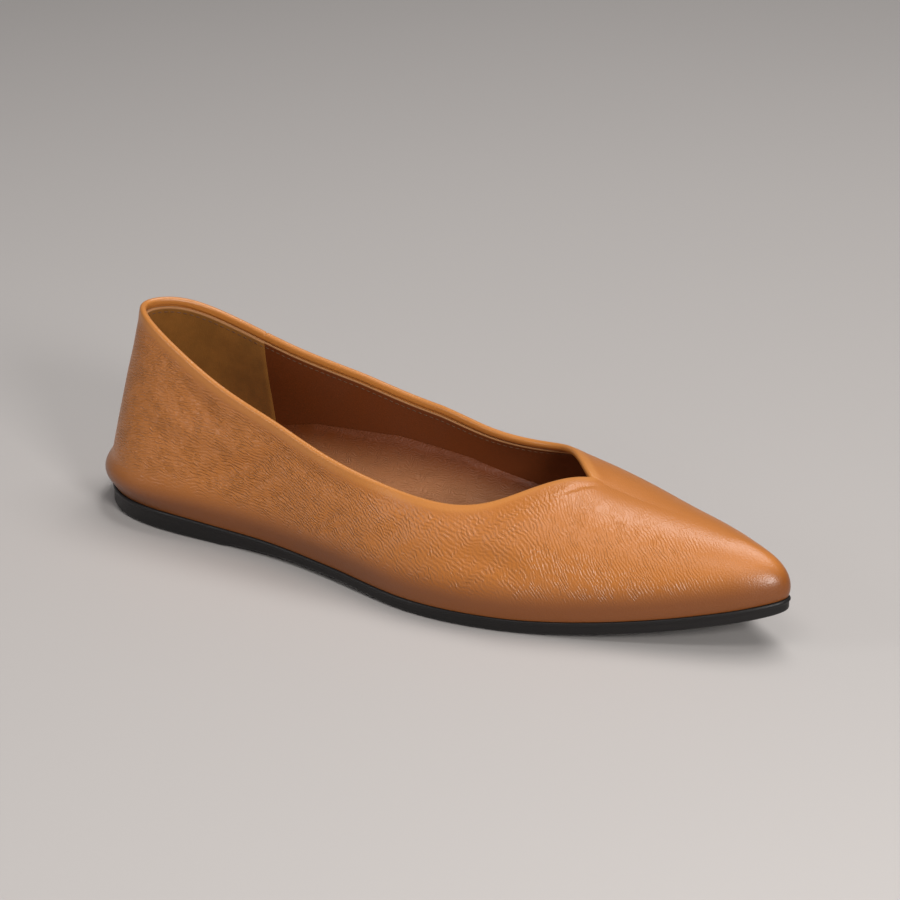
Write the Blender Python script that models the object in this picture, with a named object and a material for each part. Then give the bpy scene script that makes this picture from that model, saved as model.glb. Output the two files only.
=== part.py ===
"""Pointed toe flat shoe for the right foot: outsole, hollow leather upper and insole.

The toe points along +X, the outer (lateral) side of the foot faces -Y, and the tread stands on Z = 0.
All three pieces are worked out from one last.  Its feather line is the closed outline where the upper
meets the sole, walked from the middle of the heel back along the lateral side to the toe tip and
home along the medial side.  From each place on it a column climbs the last to the crown: the line
over the collar, then the ridge of the vamp, then one pole on the toe box.  The topline is where the
columns are cut short, which leaves the collar and the pointed throat open.
"""
import math
from collections import namedtuple

import bpy
import numpy as np
from mathutils import Matrix, Vector

MM = 0.001

# Main sizes of the shoe.
LENGTH = 262 * MM            # outsole, heel to toe
BALL_WIDTH = 80 * MM         # the unit of every width below
BACK_HEIGHT = 63 * MM        # feather line to topline at the heel back
THROAT_HEIGHT = 37.5 * MM    # feather line to the point of the throat
TOE_SPRING = 13 * MM         # how far the tread lifts at the toe tip

# Outsole.
HEEL_THICK = 7.3 * MM
FORE_THICK = 4.7 * MM
BREAST_AT = 64 * MM          # front edge of the low heel, from the heel back
ARCH = 1.3 * MM              # how far the waist clears the floor
EDGE_ROUND = 1.5 * MM        # rounding of the tread's edge
LIP_HIGH = 1.5 * MM          # band along the top of the sole's side
LIP_OUT = 0.3 * MM           # how far that band stands out from the side below it
FEATHER_IN = 0.8 * MM        # the upper's foot, in from the sole's edge

# Upper.
WALL = 2.0 * MM              # leather and lining together
RIM_WIDTH = 3.4 * MM         # turned edge along the topline
RIM_RAISE = 0.35 * MM        # how much thicker the turned edge is
TIP_ROUND = 2.0 * MM         # rounding of the throat's point
ROLL_HEIGHT = 13 * MM        # height of the swelling just above the sole
ROLL_HEEL = 2.1 * MM         # how far it swells at the heel back
ROLL_SIDE = 0.5 * MM         # and along the sides

# Insole.
INSOLE_THICK = 2.4 * MM
INSOLE_CUP = 1.2 * MM        # how far its edge rises at the heel
GAP = 0.3 * MM               # clearance between pieces that meet

# How finely the forms are faceted.
COLLAR_STEPS = 30            # columns from the heel back to the throat, on each side
TIP_STEPS = 2                # extra ones in the round point of the throat
VAMP_STEPS = 8               # from the throat to the toe box
TOE_STEPS = 7                # round the toe, to its tip
WALL_ROWS = 10
RIM_TURNS = 4
CUP_STEPS = 6                # strips across the insole

# The feather line and the side of the last, from the heel back to the toe tip.  along is a share of
# LENGTH, lateral and medial are half widths as shares of BALL_WIDTH.  The rest shape the column as
# shares of its rise and reach: how far its foot swells out and stays upright, how far its head
# reaches outward before it turns down, and how much it drops there.
Station = namedtuple("Station", "along lateral medial foot_out foot_up head_reach head_drop")
STATIONS = (
    Station(0.000, 0.000, 0.000, 0.030, 0.12, 0.67, 0.61),
    Station(0.035, 0.235, 0.200, 0.075, 0.14, 0.63, 0.60),
    Station(0.110, 0.355, 0.322, 0.110, 0.23, 0.54, 0.51),
    Station(0.210, 0.367, 0.320, 0.075, 0.33, 0.40, 0.43),
    Station(0.330, 0.370, 0.305, 0.058, 0.40, 0.355, 0.38),
    Station(0.450, 0.437, 0.332, 0.056, 0.45, 0.37, 0.33),
    Station(0.550, 0.500, 0.405, 0.060, 0.48, 0.49, 0.15),
    Station(0.640, 0.488, 0.467, 0.077, 0.535, 0.585, 0.01),
    Station(0.720, 0.420, 0.482, 0.096, 0.585, 0.63, -0.06),
    Station(0.800, 0.328, 0.438, 0.110, 0.575, 0.60, -0.04),
    Station(0.870, 0.240, 0.346, 0.125, 0.56, 0.58, -0.01),
    Station(0.930, 0.156, 0.220, 0.160, 0.55, 0.555, 0.00),
    Station(0.975, 0.077, 0.121, 0.200, 0.52, 0.555, 0.00),
    Station(1.000, -0.019, 0.019, 0.200, 0.51, 0.555, 0.00),
)

# The crown over the collar, for the first eight stations.  side is the distance from the middle as a
# share of BALL_WIDTH, lift the height above THROAT_HEIGHT as a share of what the back adds to it,
# and cut the share of the column that the topline keeps.
Crown = namedtuple("Crown", "along lateral medial lateral_lift medial_lift lateral_cut medial_cut")
CROWN = (
    Crown(0.046, 0.000, 0.000, 1.00, 1.00, 1.00, 1.00),
    Crown(0.069, 0.117, 0.130, 0.97, 0.975, 1.00, 1.00),
    Crown(0.119, 0.194, 0.245, 0.80, 0.76, 1.00, 1.00),
    Crown(0.210, 0.265, 0.285, 0.455, 0.48, 1.00, 1.00),
    Crown(0.330, 0.318, 0.325, 0.13, 0.235, 1.00, 1.00),
    Crown(0.450, 0.360, 0.350, -0.105, 0.015, 0.965, 1.00),
    Crown(0.550, 0.285, 0.297, -0.07, 0.055, 0.81, 0.895),
    Crown(0.650, 0.114, 0.174, -0.045, 0.10, 0.75, 0.82),
)

# The ridge of the vamp, from the throat to the pole on the toe box: rise is a share of
# THROAT_HEIGHT, side how far it lies towards the medial side as a share of BALL_WIDTH.
Ridge = namedtuple("Ridge", "along side rise")
RIDGE = (
    Ridge(0.728, 0.023, 1.00),
    Ridge(0.794, 0.031, 0.845),
    Ridge(0.866, 0.045, 0.69),
    Ridge(0.921, 0.034, 0.565),
)

THROAT = len(CROWN)                    # station where the topline comes to its point
POLE = THROAT + len(RIDGE) - 1         # station whose column ends at the pole
UP = np.array([0.0, 0.0, 1.0])

LEATHER = ("tan leather", (0.48, 0.19, 0.05), 0.42)
RUBBER = ("black rubber", (0.012, 0.012, 0.013), 0.45)
FOOTBED = ("brown footbed leather", (0.13, 0.05, 0.02), 0.6)


def spline(knots, values, start=None, end=None):
    """Cubic spline through values at knots, free at its ends or with the slopes given there."""
    knots = np.asarray(knots, float)
    values = np.asarray(values, float).reshape(len(knots), -1)
    step = np.diff(knots)
    slope = np.diff(values, axis=0) / step[:, None]
    matrix = np.eye(len(knots))
    bend = np.zeros_like(values)
    for i in range(1, len(knots) - 1):
        matrix[i, i - 1:i + 2] = step[i - 1], 2 * (step[i - 1] + step[i]), step[i]
        bend[i] = 6 * (slope[i] - slope[i - 1])
    if start is not None:
        matrix[0, :2] = 2 * step[0], step[0]
        bend[0] = 6 * (slope[0] - start)
    if end is not None:
        matrix[-1, -2:] = step[-1], 2 * step[-1]
        bend[-1] = 6 * (end - slope[-1])
    bend = np.linalg.solve(matrix, bend)

    def at(place):
        place = np.atleast_1d(place)
        i = np.clip(np.searchsorted(knots, place, side="right") - 1, 0, len(step) - 1)
        a = ((knots[i + 1] - place) / step[i])[:, None]
        b = ((place - knots[i]) / step[i])[:, None]
        curve = (a ** 3 - a) * bend[i] + (b ** 3 - b) * bend[i + 1]
        return a * values[i] + b * values[i + 1] + curve * (step[i] ** 2 / 6)[:, None]

    return at


def smooth(low, high, value):
    """Rise from 0 at low to 1 at high, level at both ends."""
    share = np.clip((value - low) / (high - low), 0.0, 1.0)
    return share * share * (3 - 2 * share)


def unit(vectors):
    """The same vectors at length one."""
    return vectors / np.maximum(np.linalg.norm(vectors, axis=-1, keepdims=True), 1e-12)


def tread_height(x):
    """Height of the underside: flat heel, breast, arched waist, flat forefoot, toe spring."""
    share = x / LENGTH
    breast = BREAST_AT / LENGTH
    lift = 0.5 * smooth(breast, breast + 0.012, share) + 0.5 * smooth(breast, 0.36, share)
    arch = ARCH * lift * (1 - smooth(0.42, 0.56, share))
    return arch + TOE_SPRING * np.clip((share - 0.68) / 0.32, 0.0, None) ** 1.8


def feather_height(x):
    """Height of the sole's upper side, where the upper and the insole stand."""
    share = x / LENGTH
    waist = ARCH * smooth(0.22, 0.34, share) * (1 - smooth(0.42, 0.56, share))
    spring = TOE_SPRING * np.clip((share - 0.68) / 0.32, 0.0, None) ** 1.8
    thick = HEEL_THICK + (FORE_THICK - HEEL_THICK) * smooth(0.14, 0.42, share)
    return 0.5 * waist + spring + thick


class Last:
    """Feather line, crown and columns of the last, all by one walk along the feather line."""

    def __init__(self):
        along = np.array([s.along for s in STATIONS]) * LENGTH
        lateral = np.array([-s.lateral for s in STATIONS]) * BALL_WIDTH
        medial = np.array([s.medial for s in STATIONS]) * BALL_WIDTH
        chords = [np.hypot(np.diff(along), np.diff(side)) for side in (lateral, medial)]
        self.walk = np.concatenate([[0.0], np.cumsum(sum(chords) / 2)])
        self.tip = self.walk[-1]
        self.throat = self.walk[THROAT]
        self.pole = self.walk[POLE]
        self.outline = self.closed_outline(along, lateral, medial)
        self.shapes = {name: spline(self.walk, [getattr(s, name) for s in STATIONS], 0.0)
                       for name in ("foot_out", "foot_up", "head_reach", "head_drop")}
        rows = np.array([r.along for r in CROWN + RIDGE]) * LENGTH
        self.crown_x = spline(self.walk[:POLE + 1], rows, 0.0, 0.0)
        self.ridge_x = rows[THROAT]
        self.ridge = spline(rows[THROAT:], [(r.side * BALL_WIDTH, r.rise * THROAT_HEIGHT)
                                            for r in RIDGE])
        self.crown = self.collar_crown()
        ends = [1.0]
        self.cuts = {+1: spline(self.walk[:THROAT + 1], [c.lateral_cut for c in CROWN] + ends, 0.0),
                     -1: spline(self.walk[:THROAT + 1], [c.medial_cut for c in CROWN] + ends, 0.0)}

    def closed_outline(self, along, lateral, medial):
        """The sole's edge in plan as a closed curve; the medial side runs home from the tip."""
        out = np.column_stack([along, lateral])
        home = np.column_stack([along, medial])[-2:0:-1]
        points = np.vstack([out, home])
        knots = np.concatenate([self.walk, 2 * self.tip - self.walk[-2:0:-1]])
        lap = 2 * self.tip
        wrap = 4
        knots = np.concatenate([knots[-wrap:] - lap, knots, knots[:wrap] + lap])
        points = np.vstack([points[-wrap:], points, points[:wrap]])
        curve = spline(knots, points)
        return lambda place: curve(np.mod(place, lap))

    def collar_crown(self):
        """Side and height of the crown from the throat round the back to the throat again."""
        lift = BACK_HEIGHT - THROAT_HEIGHT
        left = [(-c.lateral * BALL_WIDTH, THROAT_HEIGHT + c.lateral_lift * lift) for c in CROWN]
        right = [(c.medial * BALL_WIDTH, THROAT_HEIGHT + c.medial_lift * lift) for c in CROWN]
        peak = tuple(self.ridge(self.ridge_x)[0])
        points = [peak] + left[::-1] + right[1:] + [peak]
        knots = np.concatenate([-self.walk[THROAT:0:-1], self.walk[:THROAT + 1]])
        near = self.throat + np.array([-MM, MM])
        pace = np.diff(self.crown_x(near), axis=0)[0] / (2 * MM)
        fall = (self.ridge(self.ridge_x + MM) - self.ridge(self.ridge_x))[0] / MM * pace
        return spline(knots, points, -fall, fall)

    def outward(self, place):
        """Unit normal of the outline in plan."""
        along = unit(self.outline(place + 0.05 * MM) - self.outline(place - 0.05 * MM))
        return np.column_stack([along[:, 1], -along[:, 0], np.zeros(len(along))])

    def columns(self, place):
        """The four control points of each column: foot, swelling, head and crown."""
        side = np.where(place <= self.tip, 1, -1)
        walk = np.where(side > 0, place, 2 * self.tip - place)
        edge = self.outline(place)
        out = self.outward(place)
        foot = np.column_stack([edge, feather_height(edge[:, 0])]) - out * FEATHER_IN
        over = self.crown_x(np.minimum(walk, self.pole))[:, 0]
        ridge_at = np.maximum(over, self.ridge_x)
        on_ridge = self.ridge(ridge_at)
        pitch = (self.ridge(ridge_at + MM) - self.ridge(ridge_at - MM))[:, 1] / (2 * MM)
        pitch += (feather_height(over + MM) - feather_height(over - MM)) / (2 * MM)
        collar = self.crown(-side * np.minimum(walk, self.throat))
        top = np.where((walk < self.throat)[:, None], collar, on_ridge)
        crown = np.column_stack([over, top[:, 0], top[:, 1] + feather_height(over)])
        rise = (crown - foot)[:, 2:]
        shape = {name: curve(walk) for name, curve in self.shapes.items()}
        swell = foot + out * shape["foot_out"] * rise + UP * shape["foot_up"] * rise
        reach = (foot - crown) * np.array([1.0, 1.0, 0.0]) * shape["head_reach"]
        head = crown + reach + UP * (pitch[:, None] * reach[:, :1] - shape["head_drop"] * rise)
        return foot, swell, head, crown

    def kept(self, place):
        """Share of each column that lies below the topline."""
        lateral = place <= self.tip
        walk = np.where(lateral, place, 2 * self.tip - place)
        short = np.maximum(self.throat - walk, 0.0)
        rounded = np.sqrt(short * short + 2 * TIP_ROUND * short) - short
        inner = self.throat - short - rounded * np.exp(-short / (3 * TIP_ROUND))
        cut = np.where(lateral, self.cuts[1](inner)[:, 0], self.cuts[-1](inner)[:, 0])
        return np.where(walk < self.throat, np.minimum(cut, 1.0), 1.0)

    def wall(self, place, rows):
        """Points up the columns, as rows by columns, each row at its share of the kept length."""
        foot, swell, head, crown = self.columns(place)
        fine = np.linspace(0.0, 1.0, 41)

        def curve(share):
            a = share[..., None]
            return ((1 - a) ** 3 * foot + 3 * (1 - a) ** 2 * a * swell
                    + 3 * (1 - a) * a ** 2 * head + a ** 3 * crown)

        dense = curve(np.repeat(fine[:, None], len(place), axis=1))
        steps = np.linalg.norm(np.diff(dense, axis=0), axis=2)
        climbed = np.vstack([np.zeros(len(place)), np.cumsum(steps, axis=0)])
        ends = self.kept(place) * climbed[-1]
        shares = np.column_stack([np.interp(rows * end, climbed[:, i], fine)
                                  for i, end in enumerate(ends)])
        points = curve(shares)
        edge = self.outline(place)
        height = (points - foot)[..., 2] / ROLL_HEIGHT
        swelling = np.where((height > 0) & (height < 1), np.sin(math.pi * height) ** 2, 0.0)
        along = edge[:, 0] / LENGTH
        amount = ROLL_SIDE + (ROLL_HEEL - ROLL_SIDE) * (1 - smooth(0.0, 0.24, along))
        amount = amount * (1 - smooth(0.6, 0.8, along))
        return points + self.outward(place) * (swelling * amount)[..., None]


def stations(last):
    """Places of the columns round the whole feather line, heel back first, tip in the middle."""
    heel = np.linspace(0.0, 1.0, COLLAR_STEPS + 1)
    heel = last.throat * (heel - 0.4 * np.sin(2 * math.pi * heel) / (2 * math.pi))
    tip = last.throat - TIP_ROUND * np.linspace(0.8, 0.0, TIP_STEPS, endpoint=False) ** 2
    heel = np.concatenate([heel[:-1], tip, heel[-1:]])
    vamp = np.linspace(last.throat, last.pole, VAMP_STEPS + 1)[1:]
    toe = np.linspace(last.pole, last.tip, TOE_STEPS + 1)[1:]
    half = np.concatenate([heel, vamp, toe])
    return np.concatenate([half, 2 * last.tip - half[-2:0:-1]])


class Shell:
    """Vertices and faces of one closed body, gathered ring by ring."""

    def __init__(self):
        self.points = []
        self.faces = []

    def ring(self, points):
        """Add points and return their numbers."""
        start = len(self.points)
        self.points.extend(tuple(p) for p in points)
        return list(range(start, start + len(points)))

    def skin(self, low, high, closed=True, flip=False):
        """Join two rings of equal count, dropping corners that coincide."""
        count = len(low)
        for i in range(count if closed else count - 1):
            j = (i + 1) % count
            face = []
            for corner in (low[i], low[j], high[j], high[i]):
                if corner not in face:
                    face.append(corner)
            if len(face) > 2:
                self.faces.append(face[::-1] if flip else face)

    def object(self, name, look):
        """Make the mesh object with its material, shaded smooth."""
        mesh = bpy.data.meshes.new(name)
        mesh.from_pydata(self.points, [], self.faces)
        mesh.update()
        mesh.shade_smooth()
        mesh.set_sharp_from_angle(angle=math.radians(50))
        piece = bpy.data.objects.new(name, mesh)
        bpy.context.scene.collection.objects.link(piece)
        title, colour, roughness = look
        material = bpy.data.materials.new(title)
        material.use_nodes = True
        shader = material.node_tree.nodes["Principled BSDF"]
        shader.inputs["Base Color"].default_value = (*colour, 1.0)
        shader.inputs["Roughness"].default_value = roughness
        shader.inputs["Metallic"].default_value = 0.0
        mesh.materials.append(material)
        return piece


def across(ring):
    """Pairs of a ring's numbers that face each other across the shoe, heel to toe."""
    half = len(ring) // 2
    return [(ring[i], ring[-i]) for i in range(1, half)]


def close_flat(shell, ring, flip):
    """Close a ring with one strip of facets that run straight across the shoe."""
    half = len(ring) // 2
    pairs = across(ring)
    lateral = [ring[0]] + [p[0] for p in pairs] + [ring[half]]
    medial = [ring[0]] + [p[1] for p in pairs] + [ring[half]]
    shell.skin(lateral, medial, closed=False, flip=flip)


def vertex_normals(points, faces):
    """Area weighted normals of a mesh."""
    normals = np.zeros_like(points)
    for face in faces:
        corners = points[list(face)]
        normal = np.zeros(3)
        for i in range(1, len(face) - 1):
            normal += np.cross(corners[i] - corners[0], corners[i + 1] - corners[0])
        for corner in face:
            normals[corner] += normal
    return unit(normals)


def make_outsole(last, places):
    """One rubber unit: tread, rounded edge, side, lip and the upper side under the shoe."""
    edge = last.outline(places)
    out = last.outward(places)
    bottom = tread_height(edge[:, 0])
    top = feather_height(edge[:, 0])
    side = LIP_OUT + 0.1 * MM
    profile = (
        (EDGE_ROUND + side, bottom),
        (0.45 * EDGE_ROUND + side, bottom + 0.15 * EDGE_ROUND),
        (side, bottom + 0.8 * EDGE_ROUND),
        (LIP_OUT, top - LIP_HIGH),
        (0.0, top - 0.75 * LIP_HIGH),
        (0.0, top - 0.3 * LIP_HIGH),
        (0.3 * LIP_HIGH, top),
    )
    shell = Shell()
    rings = []
    for inset, height in profile:
        plan = np.column_stack([edge, np.zeros(len(edge))]) - out * inset
        rings.append(shell.ring(plan + UP * height[:, None]))
    for low, high in zip(rings, rings[1:]):
        shell.skin(low, high)
    close_flat(shell, rings[0], flip=True)
    close_flat(shell, rings[-1], flip=False)
    return shell.object("outsole", RUBBER)


def weld_top(ring, last, places):
    """Let facing columns share their ends on the ridge, and those round the toe the pole."""
    count = len(ring)
    walk = np.where(places <= last.tip, places, 2 * last.tip - places)
    welded = list(ring)
    pole = ring[int(np.argmin(np.abs(places - last.pole)))]
    for i in range(count):
        if walk[i] > last.pole - 0.01 * MM:
            welded[i] = pole
        elif walk[i] > last.throat - 0.01 * MM:
            welded[i] = ring[min(i, count - i)]
    return welded


def upper_skins(last, places):
    """Outer skin, inner skin and the data of the rim between them."""
    rows = np.linspace(0.0, 1.0, WALL_ROWS + 1)
    rows = np.insert(rows, -1, 0.955)
    grid = last.wall(places, rows)
    count = len(places)
    outer = Shell()
    rings = [outer.ring(points) for points in grid]
    rings[-1] = weld_top(rings[-1], last, places)
    for low, high in zip(rings, rings[1:]):
        outer.skin(low, high)
    points = np.array(outer.points)
    normals = vertex_normals(points, outer.faces)
    throat = int(np.argmin(np.abs(places - last.throat)))
    loop = rings[-1][:throat + 1] + rings[-1][count - throat + 1:]
    topline = points[loop]
    away = np.linalg.norm(points[:, None, :] - topline[None, :, :], axis=2).min(axis=1)
    raised = RIM_RAISE * (1 - smooth(0.6 * RIM_WIDTH, 1.2 * RIM_WIDTH, away))
    return grid, rings, outer, points, normals, raised, loop


def make_upper(last, places):
    """The hollow leather shell with its turned rim, standing just clear of the sole."""
    grid, rings, outer, points, normals, raised, loop = upper_skins(last, places)
    skin = points + normals * raised[:, None] + UP * GAP
    lining = points - normals * WALL + UP * GAP
    for foot in rings[0]:
        level = unit(normals[foot] * np.array([1.0, 1.0, 0.0]))
        lining[foot] = points[foot] - level * WALL
        lining[foot, 2] = feather_height(lining[foot, 0]) + GAP
    shell = Shell()
    shell.ring(skin)
    shell.ring(lining)
    inside = len(points)
    shell.faces = [list(face) for face in outer.faces]
    shell.faces += [[corner + inside for corner in face[::-1]] for face in outer.faces]
    shell.skin(rings[0], [corner + inside for corner in rings[0]], flip=True)
    edge = skin[loop]
    facing = normals[loop]
    tangent = unit(np.roll(edge, -1, axis=0) - np.roll(edge, 1, axis=0))
    opening = unit(np.cross(facing, tangent))
    middle = (edge + lining[loop]) / 2
    radius = np.linalg.norm(edge - lining[loop], axis=1, keepdims=True) / 2
    low = loop
    for turn in range(1, RIM_TURNS):
        angle = math.pi * turn / RIM_TURNS
        arc = middle + radius * (math.cos(angle) * facing + math.sin(angle) * opening)
        high = shell.ring(arc)
        shell.skin(low, high)
        low = high
    shell.skin(low, [corner + inside for corner in loop])
    return shell.object("upper", LEATHER)


def make_insole(last, places):
    """The footbed, cupped at the heel, just inside the upper's lining."""
    grid, rings, outer, points, normals, raised, loop = upper_skins(last, places)
    bottom = np.array([points[corner] for corner in rings[0]])
    facing = np.array([unit(normals[corner] * np.array([1.0, 1.0, 0.0])) for corner in rings[0]])
    base = bottom - facing * (WALL + GAP)
    count = len(places)
    half = count // 2
    under = base.copy()
    under[:, 2] = feather_height(base[:, 0]) + GAP
    cup = INSOLE_CUP * (1 - smooth(0.22, 0.42, base[:, 0] / LENGTH))
    top = base - facing * 0.5 * MM
    side = base.copy()
    side[:, 2] = feather_height(side[:, 0]) + GAP + 0.75 * (INSOLE_THICK + cup)
    top[:, 2] = feather_height(top[:, 0]) + GAP + INSOLE_THICK + cup
    shell = Shell()
    low = shell.ring(under)
    middle = shell.ring(side)
    high = shell.ring(top)
    shell.skin(low, middle)
    shell.skin(middle, high)
    close_flat(shell, low, flip=True)
    columns = [[high[0]] + [high[i] for i in range(1, half)] + [high[half]]]
    for step in range(1, CUP_STEPS):
        share = step / CUP_STEPS
        strip = []
        for i in range(1, half):
            lateral = top[i]
            medial = top[-i]
            place = lateral + (medial - lateral) * share
            dish = 1 - (2 * share - 1) ** 2
            place[2] = feather_height(place[0]) + GAP + INSOLE_THICK
            place[2] += cup[i] * (1 - dish)
            strip.append(place)
        columns.append([high[0]] + shell.ring(strip) + [high[half]])
    columns.append([high[0]] + [high[-i] for i in range(1, half)] + [high[half]])
    for left, right in zip(columns, columns[1:]):
        shell.skin(left, right, closed=False)
    return shell.object("insole", FOOTBED)


def centre(pieces):
    """Put the origin on the floor in the middle of the shoe's box."""
    corners = np.array([vertex.co for piece in pieces for vertex in piece.data.vertices])
    middle = (corners.min(axis=0) + corners.max(axis=0)) / 2
    for piece in pieces:
        piece.data.transform(Matrix.Translation(Vector((-middle[0], -middle[1], 0.0))))


def main():
    for old in list(bpy.data.objects):
        bpy.data.objects.remove(old, do_unlink=True)
    last = Last()
    places = stations(last)
    centre([make_outsole(last, places), make_upper(last, places), make_insole(last, places)])


main()
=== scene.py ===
"""Pointed toe flat shoe for the right foot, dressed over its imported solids.

The toe points along +X, the outer (lateral) side faces -Y and the tread stands on Z = 0.  Every
piece
is worked out from the same last as the solids, more finely.  Its feather line, where the upper
meets the sole, is walked from the middle of the heel back along the lateral side to the toe tip
and home along the medial side.  From each place on it a column climbs to the collar or to the
vamp's ridge.
"""
import math
from collections import namedtuple

import bpy
import numpy as np
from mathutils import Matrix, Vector
from mathutils.kdtree import KDTree


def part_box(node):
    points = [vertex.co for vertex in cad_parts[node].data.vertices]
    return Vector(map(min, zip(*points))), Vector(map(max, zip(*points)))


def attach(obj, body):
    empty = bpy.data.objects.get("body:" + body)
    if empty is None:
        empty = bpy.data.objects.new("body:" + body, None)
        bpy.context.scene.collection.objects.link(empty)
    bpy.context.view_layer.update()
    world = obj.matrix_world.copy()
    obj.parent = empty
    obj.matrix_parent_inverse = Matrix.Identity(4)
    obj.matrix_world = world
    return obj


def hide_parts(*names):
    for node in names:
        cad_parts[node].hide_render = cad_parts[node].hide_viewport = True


bl_info = {
    "name": "Pointed Toe Flat Shoe",
    "version": (1, 0, 0),
    "blender": (4, 5, 0),
    "location": "3D View > Sidebar > Flat Shoe",
    "description": "Builds a pointed leather flat with its linings, footbed, rubber sole and stage",
    "category": "Object",
}

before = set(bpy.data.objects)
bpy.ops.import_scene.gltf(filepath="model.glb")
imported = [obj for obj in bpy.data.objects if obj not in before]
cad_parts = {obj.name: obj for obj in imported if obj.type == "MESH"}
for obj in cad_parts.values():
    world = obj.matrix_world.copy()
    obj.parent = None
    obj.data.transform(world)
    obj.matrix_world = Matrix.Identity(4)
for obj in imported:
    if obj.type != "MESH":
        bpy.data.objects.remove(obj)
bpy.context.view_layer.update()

MM = 0.001

# The last, in the sizes of the solids.
LENGTH = 262 * MM
BALL_WIDTH = 80 * MM
BACK_HEIGHT = 63 * MM
THROAT_HEIGHT = 37.5 * MM
TOE_SPRING = 13 * MM
HEEL_THICK = 7.3 * MM
FORE_THICK = 4.7 * MM
BREAST_AT = 64 * MM
ARCH = 1.3 * MM
FEATHER_IN = 0.8 * MM
WALL = 2.0 * MM
TIP_ROUND = 2.0 * MM
ROLL_HEIGHT = 13 * MM
ROLL_HEEL = 2.1 * MM
ROLL_SIDE = 0.5 * MM
INSOLE_THICK = 2.4 * MM
GAP = 0.3 * MM

# Where the linings start above the feather line, and how far what shows stands over the solids.
LINING_FOOT = 2.0 * MM
PROUD = 0.03 * MM

# One stud of the tread and one stitch of the linings.
STUD_SIZES = {"Tip": 1.15 * MM, "Foot": 1.5 * MM, "Height": 0.7 * MM}
STITCH_SIZES = {"Length": 1.7 * MM, "Radius": 0.2 * MM}

# The photo's camera, fitted to the shoe's outlines; degrees, metres and millimetres of lens.
CAMERA_AZIMUTH = 32
CAMERA_ELEVATION = 22
CAMERA_DISTANCE = 0.9
CAMERA_LENS = 108.72
CAMERA_TARGET = (0.1378, 0.0, 0.0416)

Station = namedtuple("Station", "along lateral medial foot_out foot_up head_reach head_drop")
STATIONS = (
    Station(0.000, 0.000, 0.000, 0.030, 0.12, 0.67, 0.61),
    Station(0.035, 0.235, 0.200, 0.075, 0.14, 0.63, 0.60),
    Station(0.110, 0.355, 0.322, 0.110, 0.23, 0.54, 0.51),
    Station(0.210, 0.367, 0.320, 0.075, 0.33, 0.40, 0.43),
    Station(0.330, 0.370, 0.305, 0.058, 0.40, 0.355, 0.38),
    Station(0.450, 0.437, 0.332, 0.056, 0.45, 0.37, 0.33),
    Station(0.550, 0.500, 0.405, 0.060, 0.48, 0.49, 0.15),
    Station(0.640, 0.488, 0.467, 0.077, 0.535, 0.585, 0.01),
    Station(0.720, 0.420, 0.482, 0.096, 0.585, 0.63, -0.06),
    Station(0.800, 0.328, 0.438, 0.110, 0.575, 0.60, -0.04),
    Station(0.870, 0.240, 0.346, 0.125, 0.56, 0.58, -0.01),
    Station(0.930, 0.156, 0.220, 0.160, 0.55, 0.555, 0.00),
    Station(0.975, 0.077, 0.121, 0.200, 0.52, 0.555, 0.00),
    Station(1.000, -0.019, 0.019, 0.200, 0.51, 0.555, 0.00),
)

Crown = namedtuple("Crown", "along lateral medial lateral_lift medial_lift lateral_cut medial_cut")
CROWN = (
    Crown(0.046, 0.000, 0.000, 1.00, 1.00, 1.00, 1.00),
    Crown(0.069, 0.117, 0.130, 0.97, 0.975, 1.00, 1.00),
    Crown(0.119, 0.194, 0.245, 0.80, 0.76, 1.00, 1.00),
    Crown(0.210, 0.265, 0.285, 0.455, 0.48, 1.00, 1.00),
    Crown(0.330, 0.318, 0.325, 0.13, 0.235, 1.00, 1.00),
    Crown(0.450, 0.360, 0.350, -0.105, 0.015, 0.965, 1.00),
    Crown(0.550, 0.285, 0.297, -0.07, 0.055, 0.81, 0.895),
    Crown(0.650, 0.114, 0.174, -0.045, 0.10, 0.75, 0.82),
)

Ridge = namedtuple("Ridge", "along side rise")
RIDGE = (
    Ridge(0.728, 0.023, 1.00),
    Ridge(0.794, 0.031, 0.845),
    Ridge(0.866, 0.045, 0.69),
    Ridge(0.921, 0.034, 0.565),
)

THROAT = len(CROWN)
POLE = THROAT + len(RIDGE) - 1
UP = np.array([0.0, 0.0, 1.0])

# How finely the pieces are meshed.
COLLAR_STEPS = 150
TIP_STEPS = 8
VAMP_STEPS = 60
TOE_STEPS = 48
SKIN_ROWS = 84
INNER_ROWS = 22

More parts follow.
